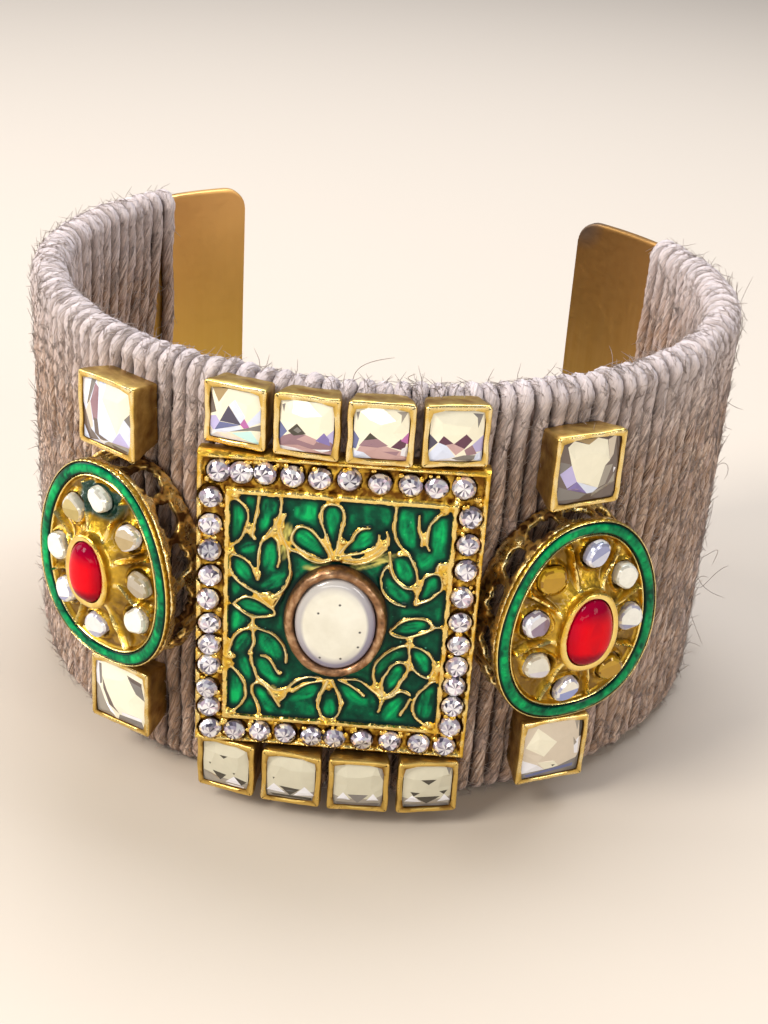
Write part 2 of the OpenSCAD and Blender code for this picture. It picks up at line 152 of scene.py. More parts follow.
def objectNoise(tree, scale, detail, roughness, stretch=None):
    place = objectPlace(tree)
    if stretch:
        place = addNode(tree, "ShaderNodeMapping", {"Vector": place, "Scale": stretch}).outputs[0]
    return addNode(tree, "ShaderNodeTexNoise", {"Vector": place, "Scale": scale, "Detail": detail,
                                                "Roughness": roughness}).outputs["Fac"]


def makeGroup(name, inputs, outputs):
    group = bpy.data.node_groups.new(name, "ShaderNodeTree")
    for way, labels in (("INPUT", inputs), ("OUTPUT", outputs)):
        for label in labels:
            kind = "Color" if label in ("Bright", "Gold", "Hollow", "Color") else "Float"
            group.interface.new_socket(label, in_out=way, socket_type="NodeSocket" + kind)
    return group, group.nodes.new("NodeGroupInput").outputs, group.nodes.new("NodeGroupOutput")


# Gilding: bright where a ridge is rubbed, deep orange-brown in the hollows, mottled in between. On some
# pieces the level read from the mesh also holds painted highlights and painted shade
def makeGilding():
    group, given, result = makeGroup("gilding", ("Bright", "Gold", "Hollow", "Mottle", "Roughness"),
                                     ("Color", "Roughness", "Height"))
    worn = attribute(group, "worn")
    patches = objectNoise(group, 900, 4, 0.6)
    grain = objectNoise(group, 3800, 2, 0.6)
    level = maths(group, "ADD", worn, maths(group, "MULTIPLY", maths(group, "SUBTRACT", patches, 0.5),
                                            given["Mottle"]), clamp=True)
    low = blend(group, spread(group, level, 0.1, 0.5), given["Hollow"], given["Gold"])
    tint = blend(group, spread(group, level, 0.58, 0.9), low, given["Bright"])
    group.links.new(tint, result.inputs["Color"])
    rough = maths(group, "ADD", given["Roughness"], spread(group, level, 0.0, 0.8, 0.28, -0.04))
    group.links.new(maths(group, "ADD", rough, spread(group, grain, 0.3, 0.7, -0.04, 0.06)),
                    result.inputs["Roughness"])
    group.links.new(maths(group, "ADD", maths(group, "MULTIPLY", patches, 0.7),
                          maths(group, "MULTIPLY", grain, 0.3)), result.inputs["Height"])
    return group


# Cut glass over foil: each facet keeps a flat tint, which holds the stone's colour with painted
# reflections and glints, with faint clouding
def makeFacetTint():
    group, given, result = makeGroup("facetTint", ("Clouding",), ("Color", "Roughness"))
    facetColourAndReflection = attribute(group, "tint", "Color")
    cloud = objectNoise(group, 1400, 3, 0.6)
    shade = spread(group, cloud, 0.3, 0.7, 0.0, 1.0)
    dim = maths(group, "SUBTRACT", 1.0, maths(group, "MULTIPLY", shade, given["Clouding"]))
    dimmed = addNode(group, "ShaderNodeCombineColor", {"Red": dim, "Green": dim, "Blue": dim}).outputs[0]
    group.links.new(blend(group, 1.0, facetColourAndReflection, dimmed, "MULTIPLY"), result.inputs["Color"])
    group.links.new(spread(group, cloud, 0.35, 0.75, 0.03, 0.14), result.inputs["Roughness"])
    return group


gilding = makeGilding()
facetTint = makeFacetTint()


def startMaterial(name, settings):
    material = bpy.data.materials.new(name)
    material.use_nodes = True
    tree = material.node_tree
    shader = tree.nodes["Principled BSDF"]
    for label, value in settings.items():
        shader.inputs[label].default_value = value
    return material, tree, shader


def addBump(tree, shader, height, strength, distance):
    bump = addNode(tree, "ShaderNodeBump", {"Height": height, "Strength": strength, "Distance": distance})
    tree.links.new(bump.outputs["Normal"], shader.inputs["Normal"])


def addFinish(tree, shader, group, inputs):
    finish = addNode(tree, "ShaderNodeGroup", inputs, node_tree=group)
    for label, target in (("Color", "Base Color"), ("Roughness", "Roughness")):
        tree.links.new(finish.outputs[label], shader.inputs[target])
    return finish


def giltMaterial(name, bright, gold, hollow, mottle, roughness, relief):
    material, tree, shader = startMaterial(name, {"Metallic": 1.0})
    finish = addFinish(tree, shader, gilding, {
        "Bright": (*bright, 1), "Gold": (*gold, 1), "Hollow": (*hollow, 1), "Mottle": mottle,
        "Roughness": roughness})
    addBump(tree, shader, finish.outputs["Height"], relief, 0.00012)
    return material


def foiledGlass(name, metallic, coat, clouding, gloss=0.5):
    material, tree, shader = startMaterial(name, {
        "Metallic": metallic, "Specular IOR Level": gloss, "Coat Weight": coat, "Coat Roughness": 0.02,
        "Coat IOR": 1.52})
    addFinish(tree, shader, facetTint, {"Clouding": clouding})
    return material


def juteMaterial(name, dark, middle, light, laid=False):
    material, tree, shader = startMaterial(name, {
        "Roughness": 0.9, "Specular IOR Level": 0.25, "Sheen Weight": 0.35, "Sheen Roughness": 0.5,
        "Sheen Tint": (0.95, 0.9, 0.95, 1)})
    place = addNode(tree, "ShaderNodeSeparateXYZ", {0: addNode(tree, "ShaderNodeUVMap").outputs[0]})
    around = maths(tree, "MULTIPLY", place.outputs[1], tau)
    ring = addNode(tree, "ShaderNodeCombineXYZ", {
        "X": maths(tree, "COSINE", around), "Y": maths(tree, "SINE", around),
        "Z": maths(tree, "MULTIPLY", place.outputs[0], 260.0)}).outputs[0]
    fibres = addNode(tree, "ShaderNodeTexNoise", {"Vector": ring, "Scale": 4.6, "Detail": 4.0,
                                                  "Roughness": 0.65}).outputs["Fac"]
    patches = objectNoise(tree, 160, 3, 0.6)
    tint = blend(tree, spread(tree, fibres, 0.36, 0.5), dark, middle)
    tint = blend(tree, spread(tree, fibres, 0.5, 0.64), tint, light)
    warm = objectNoise(tree, 420, 2, 0.6)
    tint = blend(tree, spread(tree, patches, 0.42, 0.7, 0.0, 0.55), tint, (0.46, 0.28, 0.17))
    tint = blend(tree, spread(tree, warm, 0.55, 0.75, 0.0, 0.5), tint, (0.76, 0.58, 0.54))
    if laid:  # painted shade between the turns, and a painted highlight along the top roll
        crest = attribute(tree, "crest")
        height = addNode(tree, "ShaderNodeSeparateXYZ", {0: objectPlace(tree)})
        top = spread(tree, height.outputs[2], 0.0325, 0.0415)
        # painted highlight: the top roll is paler, as if lit from above
        tint = blend(tree, maths(tree, "MULTIPLY", top, 0.66), tint, (0.96, 0.87, 0.86))
        # painted shade in the grooves between the turns, set by how far each point stands out
        paintedGrooveShade = maths(tree, "MULTIPLY", spread(tree, crest, -0.2, 0.7, 0.85, 0.0),
                    maths(tree, "SUBTRACT", 1.0, maths(tree, "MULTIPLY", top, 0.55)))
        tint = blend(tree, paintedGrooveShade, tint, (0.08, 0.04, 0.022))
    tree.links.new(tint, shader.inputs["Base Color"])
    addBump(tree, shader, fibres, 1.0, 0.0004)
    return material


# A finished piece: its bmesh, drawn in millimetres, goes to its place and rides on the bracelet
def finishPiece(name, mesh, materials, nodes=(), place=None, crease=35.0, outward=False):
    if outward:
        bmesh.ops.recalc_face_normals(mesh, faces=mesh.faces)
    mesh.transform(toMetres @ (place or Matrix.Identity(4)))
    data = bpy.data.meshes.new(name)
    mesh.to_mesh(data)
    mesh.free()
    return finishMesh(name, data, materials, nodes, crease)


def finishMesh(name, data, materials, nodes, crease):
    for material in materials:
        data.materials.append(material)
    data.shade_smooth()
    if crease is not None:
        data.set_sharp_from_angle(angle=radians(crease))
    piece = bpy.data.objects.new(name, data)
    scene.collection.objects.link(piece)
    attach(piece, "root")
    if nodes:
        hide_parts(*nodes)
    return piece


def paint(piece, name, values):  # one value for each vertex
    layer = piece.data.attributes.new(name, "FLOAT", "POINT")
    layer.data.foreach_set("value", np.asarray(values, dtype=np.float32))


def roughGrid(xs, ys, broad, fine, level):  # broad and fine unevenness, at a level of the noise
    return np.array([[noise.noise((x * broad, y * broad, level))
                      + 0.5 * noise.noise((x * fine, y * fine, level + 4)) for y in ys] for x in xs])


def blur(field, times):  # softens a grid of heights
    for _ in range(times):
        padded = np.pad(field, 1, mode="edge")
        field = (padded[:-2, 1:-1] + padded[2:, 1:-1] + padded[1:-1, :-2] + padded[1:-1, 2:]
                 + 2 * padded[1:-1, 1:-1]) / 6
    return field


def ramp(value, low, high):  # a smooth step
    t = np.clip((value - low) / (high - low), 0, 1)
    return t * t * (3 - 2 * t)


def bevelEdges(mesh, edges, offset, segments):
    bmesh.ops.bevel(mesh, geom=edges, offset=offset, offset_type="OFFSET", segments=segments, profile=0.5,
                    affect="EDGES", material=-1)


def boundary(mesh):
    return [e for e in mesh.edges if e.is_boundary]


def extrudeRim(mesh, rim):  # the new vertices and the new rim
    made = bmesh.ops.extrude_edge_only(mesh, edges=rim)["geom"]
    return ([v for v in made if isinstance(v, bmesh.types.BMVert)],
            [e for e in made if isinstance(e, bmesh.types.BMEdge) and e.is_boundary])


def addRing(mesh, count, radius=1.0, matrix=None):  # its vertices and its edges
    verts = bmesh.ops.create_circle(mesh, segments=count, radius=radius,
                                    matrix=matrix or Matrix.Identity(4))["verts"]
    return verts, list(dict.fromkeys(e for v in verts for e in v.link_edges))


def bridgeRings(mesh, rings):  # rings of edges from the bottom up, closed at both ends
    faces = []
    for a, b in zip(rings, rings[1:]):
        faces += bmesh.ops.bridge_loops(mesh, edges=a + b)["faces"]
    for ring in (rings[0], rings[-1]):
        faces += bmesh.ops.contextual_create(mesh, geom=ring)["faces"]
    return faces


# A grid whose lines stand at the given places; the vertices come back by column and row
def gridOf(xs, ys, *marks):
    mesh = bmesh.new()
    for mark in marks:
        mesh.verts.layers.float.new(mark)
    bmesh.ops.create_grid(mesh, x_segments=len(xs) - 1, y_segments=len(ys) - 1, size=1)
    rows = [[None] * len(ys) for _ in xs]
    for vertex in mesh.verts:
        i = round((vertex.co.x + 1) / 2 * (len(xs) - 1))
        j = round((vertex.co.y + 1) / 2 * (len(ys) - 1))
        rows[i][j] = vertex
        vertex.co = (xs[i], ys[j], 0)
    return mesh, rows


def fillGrid(rows, values, layer=None):  # heights, or the values of a layer
    for row, line in zip(rows, values):
        for vertex, value in zip(row, line):
            if layer is None:
                vertex.co.z = value
            else:
                vertex[layer] = value


def stops(*marks):  # places from mark to mark: start, then pairs of count and end
    places = [marks[0]]
    for count, end in zip(marks[1::2], marks[2::2]):
        start = places[-1]
        places += [start + (end - start) * (k + 1) / count for k in range(count)]
    return places


# Distance from points to a chain of segments, with the width there
def nearest(px, py, chain):
    best = np.full(px.shape, 1e9)
    width = np.zeros(px.shape)
    for (x0, y0, w0), (x1, y1, w1) in zip(chain, chain[1:]):
        dx, dy = x1 - x0, y1 - y0
        t = np.clip(((px - x0) * dx + (py - y0) * dy) / max(dx * dx + dy * dy, 1e-9), 0, 1)
        d = np.hypot(px - x0 - t * dx, py - y0 - t * dy)
        closer = d < best
        best = np.where(closer, d, best)
        width = np.where(closer, w0 + t * (w1 - w0), width)
    return best, width


def smoothChain(points):  # a Catmull-Rom line through points of any number of values
    if len(points) < 3:
        return points
    steps = 6
    rows = [np.array(p, dtype=float) for p in [points[0], *points, points[-1]]]
    line = []
    for a, b, c, d in zip(rows, rows[1:], rows[2:], rows[3:]):
        for k in range(steps):
            t = k / steps
            line.append(0.5 * (2 * b + (c - a) * t + (2 * a - 5 * b + 4 * c - d) * t * t
                               + (3 * b - a - 3 * c + d) * t ** 3))
    return [tuple(p) for p in [*line, rows[-1]]]


def profileCurve(name, outline):  # a closed flat outline, in millimetres, drawn along a curve
    data = bpy.data.curves.new(name, "CURVE")
    data.dimensions = "2D"
    spline = data.splines.new("POLY")
    spline.points.add(len(outline) - 1)
    for point, (x, y) in zip(spline.points, outline):
        point.co = (x * 0.001, y * 0.001, 0, 1)
    spline.use_cyclic_u = True
    profile = bpy.data.objects.new(name, data)
    scene.collection.objects.link(profile)
    return profile


def curveData(name, profile=None):  # round wire of one millimetre's radius where no profile is given
    data = bpy.data.curves.new(name, "CURVE")
    data.dimensions = "3D"
    data.use_fill_caps = True
    if profile:
        data.bevel_mode, data.bevel_object = "OBJECT", profile
    else:
        data.bevel_depth, data.bevel_resolution = 0.001, 2
    return data


def addLine(data, points, radii, tilts=None):
    spline = data.splines.new("POLY")
    spline.points.add(len(points) - 1)
    flat = np.ones((len(points), 4), dtype=np.float32)
    flat[:, :3] = np.asarray(points, dtype=np.float32) * 0.001
    spline.points.foreach_set("co", flat.ravel())
    spline.points.foreach_set("radius", np.asarray(radii, dtype=np.float32))
    if tilts is not None:
        spline.points.foreach_set("tilt", np.asarray(tilts, dtype=np.float32))
    spline.use_smooth = True


def curveToMesh(name, data):
    holder = bpy.data.objects.new(name + "Curve", data)
    scene.collection.objects.link(holder)
    result = bpy.data.meshes.new_from_object(
        holder.evaluated_get(bpy.context.evaluated_depsgraph_get()))
    bpy.data.objects.remove(holder)
    result.name = name
    result.materials.clear()
    return result


# Brass strip: its two bare ends are the tabs at the back
def makeStrip(material):
    end, corner = cuff["stripEnd"], cuff["stripCorner"]
    low, high, half = cuff["stripLow"], cuff["stripHigh"], cuff["stripThickness"] / 2
    reach = lengthTo(end)
    tip = [reach - corner * (1 - cos(pi / 2 * k / 8)) for k in range(9)]
    along = sorted([-s for s in tip] + stops(-reach + corner, 130, reach - corner)[1:-1] + tip)
    upward = stops(0, 6, 0.06, 18, 0.94, 6, 1)
    mesh, rows = gridOf(along, upward)
    for i, s in enumerate(along):
        near = reach - abs(s)
        bound = lengthTo(cuff["windingLeft"] if s < 0 else cuff["windingRight"])
        tuck = 0.75 * min(max((bound - abs(s) - 0.5) / 0.8, 0), 1)
        cut = tuck + corner - sqrt(max(corner ** 2 - max(corner - near, 0) ** 2, 0))
        for j, share in enumerate(upward):
            z = low + cut + (high - low - 2 * cut) * share
            bend = 0.12 * noise.noise((s * 0.08, z * 0.1, 3.1))
            rows[i][j].co = cuffPoint(angleAt(s), bend, z)
    shell = bmesh.ops.extrude_face_region(mesh, geom=mesh.faces[:])
    outer = {v for v in shell["geom"] if isinstance(v, bmesh.types.BMVert)}
    for vertex in mesh.verts:
        angle = degrees(atan2(vertex.co.x, -vertex.co.y))
        middleX = sideCentre * ((angle > joinAngle) - (angle < -joinAngle))
        middleY = frontCentre if abs(angle) <= joinAngle else 0
        away = Vector((vertex.co.x - middleX, vertex.co.y - middleY, 0)).normalized()
        vertex.co += away * (half if vertex in outer else -half)
    bmesh.ops.recalc_face_normals(mesh, faces=mesh.faces)
    rim = [e for e in mesh.edges if len(e.link_faces) == 2 and e.calc_face_angle(0) > radians(60)]
    bevelEdges(mesh, rim, 0.16, 2)
    finishPiece("brass_strip_bent", mesh, [material], ["brass_cuff"])
    print("strip ready")


# Jute: one two-ply yarn laid turn by turn round the strip
jute = {
    "turns": 95, "lobe": 0.70, "lobeOffset": 0.07, "centre": 1.2, "lowRoll": 1.95, "highRoll": 40.55,
    "straightSteps": 50, "rollSteps": 9, "plyLength": 10.5, "wander": 0.42, "sink": 0.24,
    "pressed": 0.72, "pieces": 3,
    "gaps": [(1, 1.75, 24, 38, 5), (4, 0.8, 30, 40, 2.5), (7, 0.9, 24, 39, 3)],
}


def bandPoint(share):  # one turn, out and z: from the low roll up the outside and down the inside
    straight, centre = jute["highRoll"] - jute["lowRoll"], jute["centre"]
    roll = pi * centre
    s = (share % 1.0) * 2 * (straight + roll)
    if s < straight:
        return centre, jute["lowRoll"] + s
    if s < straight + roll:
        a = (s - straight) / centre
        return centre * cos(a), jute["highRoll"] + centre * sin(a)
    if s < 2 * straight + roll:
        return -centre, jute["highRoll"] - (s - straight - roll)
    a = pi + (s - 2 * straight - roll) / centre
    return centre * cos(a), jute["lowRoll"] + centre * sin(a)


def onRolls(z):  # the height of the core that the yarn goes round
    return min(max(z, jute["lowRoll"]), jute["highRoll"])


def leanOf(turn, z):  # inner turns beside the left tab leave gaps that widen downwards
    lean = 0.0
    for first, width, low, high, fade in jute["gaps"]:
        if turn >= first:
            lean += width * (1 - ramp(z, low, high)) * np.exp((first - turn) / fade)
    return lean * ramp(z, 2, 9)


def yarnPath():
    straight = jute["highRoll"] - jute["lowRoll"]
    roll = pi * jute["centre"]
    whole = 2 * (straight + roll)
    shares = [s / whole for s in stops(0, jute["straightSteps"], straight, jute["rollSteps"],
                                       straight + roll, jute["straightSteps"],
                                       2 * straight + roll, jute["rollSteps"], whole)[:-1]]
    start, finish = -lengthTo(cuff["windingLeft"]) + 0.75, lengthTo(cuff["windingRight"]) - 0.75
    middle = cuff["stripLow"] + (cuff["stripHigh"] - cuff["stripLow"]) / 2
    path = []
    for turn in range(jute["turns"]):
        for share in shares:
            out, z = bandPoint(share)
            s = start + (finish - start) * (turn + share) / jute["turns"]
            drift = noise.noise((turn * 0.31, share * 7.0, 5.0)) + 0.5 * noise.noise(
                (turn * 0.9, share * 15.0, 9.0))
            sink = jute["sink"] * (0.5 + noise.noise((turn * 0.83, share * 9.0, 21.0)))
            thick = (0.97 + 0.12 * noise.noise((turn * 1.7, share * 16.0, 33.0))
                     + 0.16 * noise.noise((turn * 3.3, share * 60.0, 37.0)))
            loose = 0.5 * noise.noise((turn * 1.15, z * 0.03, 51.0)) if out < 0.3 else 0.0
            s += jute["wander"] * drift + (0.9 if abs(turn - 47) > 30 else 0.4) * loose
            if out < 0 and share > 0.5:
                s += leanOf(turn, z)
            radial = max(1 - sink / jute["centre"], 0.7)
            rollZ = jute["highRoll"] if z > middle else jute["lowRoll"]
            if abs(z - middle) > straight / 2:
                z = rollZ + (z - rollZ) * radial
                thick *= 1.07
            path.append((angleAt(s), out * radial, z, thick, (turn + share) * whole))
    return path


def makeYarn(material, gapShadeMaterial):
    marks = [radians(a) for a in (-90, -45, 0, 45, 90)]
    outline = [(jute["lobeOffset"] + jute["lobe"] * cos(a), jute["lobe"] * sin(a)) for a in marks]
    outline += [(-x, -y) for x, y in outline]
    profile = profileCurve("yarnProfile", outline)
    path = yarnPath()
    share = len(path) // jute["pieces"]
    for k in range(jute["pieces"]):
        run = path[k * share: (k + 1) * share + 1] if k < jute["pieces"] - 1 else path[k * share:]
        data = curveData("yarn", profile)
        hearts = np.array([cuffPoint(a, out, z) for a, out, z, *_ in run])
        addLine(data, hearts, [p[3] for p in run], [tau * p[4] / jute["plyLength"] for p in run])
        result = curveToMesh(f"jute_yarn_{k + 1}", data)
        piece = finishMesh(result.name, result, [material],
                           ["jute_winding"] if k == 0 else (), None)
        # how far each point stands out from the core; it sets the painted shade between the turns
        corners = np.array([v.co for v in result.vertices])
        rings = corners[:len(run) * len(outline)].reshape(len(run), len(outline), 3) * 1000
        cores = np.array([cuffPoint(a, 0, onRolls(z)) for a, _, z, *_ in run])
        away = (hearts - cores) / np.linalg.norm(hearts - cores, axis=1)[:, None]
        crest = (((rings - hearts[:, None]) * away[:, None]).sum(2) / jute["lobe"]).ravel()
        paint(piece, "crest", np.pad(crest, (0, len(corners) - len(crest))))
    bpy.data.objects.remove(profile)

    # Pressed inner side of the yarn, which closes the gaps between the turns; it is a dark sleeve that
    # puts painted shade in those gaps
    along = stops(lengthTo(-cuff["windingLeft"]) + 0.4, 120, lengthTo(cuff["windingRight"]) - 0.4)
    ring = stops(0, 24, 0.4545, 8, 0.5, 24, 0.9545, 8, 1)
    squeeze = jute["pressed"] / jute["centre"]
    mesh, rows = gridOf(along, ring)
    for i, s in enumerate(along):
        for j, share in enumerate(ring):
            out, z = bandPoint(share)
            rollZ = onRolls(z)
            bare = out < 0 and s < along[0] + 2.9  # the brass shows through the first gap
            rows[i][j].co = cuffPoint(angleAt(s), 0 if bare else out * squeeze,
                                      rollZ + (z - rollZ) * squeeze)
    bmesh.ops.remove_doubles(mesh, verts=mesh.verts, dist=0.001)
    finishPiece("jute_underside", mesh, [gapShadeMaterial], outward=True)
    print("yarn ready")
    return path


# Short fuzz and long stray fibres
fuzz = {"count": 12500, "radius": 0.034, "length": (0.8, 2.4), "lift": 0.15, "joints": 3,
        "bend": (0.25, 0.6)}
strays = {"count": 260, "radius": 0.032, "length": (2, 7), "lift": 0.45, "joints": 9,
          "bend": (0.05, 0.62)}


def fibrePoints(seed, path, kind):
    stray = kind is strays
    k = seed.randrange(1, len(path) - 1)
    angle, out, z, *_ = path[k]
    if out < 0 and seed.random() < 0.4:
        return None
    here = cuffPoint(angle, out, z)
    along = (cuffPoint(*path[k + 1][:3]) - here).normalized()
    outward = (here - cuffPoint(angle, 0, onRolls(z))).normalized()
    side = along.cross(outward)
    turn = seed.uniform(0, tau) if stray or seed.random() < 0.3 else seed.gauss(0, 0.45)
    point = here + outward * 0.62 + side * seed.uniform(-0.45, 0.45)
    length = seed.uniform(*kind["length"])
    standing = stray and seed.random() < 0.07
    heading = (along * cos(turn) + side * sin(turn)
               + outward * seed.uniform(0.1, 1.3 if standing else kind["lift"])).normalized()
    # On the left half and beside the right end no stray stands, and the fuzz points to the front
    if angle < 0 or lengthTo(cuff["windingRight"]) - lengthTo(angle) < 7:
        if stray:
            return None
        onward = (cuffPoint(angle + (-1 if angle < 0 else 1), out, z) - here).normalized()
        heading -= onward * 2 * max(heading.dot(onward), 0)
    bend = seed.uniform(kind["bend"][0], 0.35 if standing else kind["bend"][1])
    axis = (outward + 0.5 * Vector([seed.uniform(-1, 1) for _ in range(3)])).normalized()
    curl = Matrix.Rotation(bend * seed.choice((-1, 1)), 3, axis)
    points = [point]
    for _ in range(kind["joints"] - 1):
        heading = (curl @ heading - outward * (0 if standing else 0.05)).normalized()
        point = point + heading * length / (kind["joints"] - 1)
        point.z = max(point.z, 0.05)
        points.append(point)
    return points


def makeFibres(material, path):
    profile = profileCurve("fibreProfile", [(cos(tau * k / 3), sin(tau * k / 3)) for k in range(3)])
    seed = random.Random(71)
    for name, kind in (("jute_fuzz_1", fuzz), ("jute_fuzz_2", fuzz), ("jute_strays", strays)):
        data = curveData(name, profile)
        radii = [kind["radius"]] * (kind["joints"] - 1) + [kind["radius"] * 0.4]
        for _ in range(kind["count"]):
            points = fibrePoints(seed, path, kind)
            if points:
                addLine(data, points, radii)
        finishMesh(name, curveToMesh(name, data), [material], (), None)
    bpy.data.objects.remove(profile)
    print("fibres ready")


# Plaque: cast gilt plate, its relief drawn as lines of changing width in the plaque's own plane
plaque = {
    "x": 0.85, "z": 22.1, "turn": 2.9, "size": (24.6, 29.0), "face": 2.4, "back": 0.05, "rim": 0.42,
    "foot": (19.0, 25.0), "channel": 2.0, "seat": 1.45, "floor": 1.4, "enamel": 2.1, "peak": 2.42,
    "field": (9.45, 11.2), "fieldMiddle": -0.35,
    "borderReach": (10.9, 13.1), "stone": 1.03,
    "oval": (4.5, 5.45), "ovalMiddle": -0.8,
    "bare": [(-4.7, 6.5, 4.0, 1.3, 82), (-1.7, 4.3, 3.0, 0.9, 8), (3.0, 5.2, 4.6, 1.2, 22),
             (-5.2, -8.9, 1.8, 1.0, -45)],
}
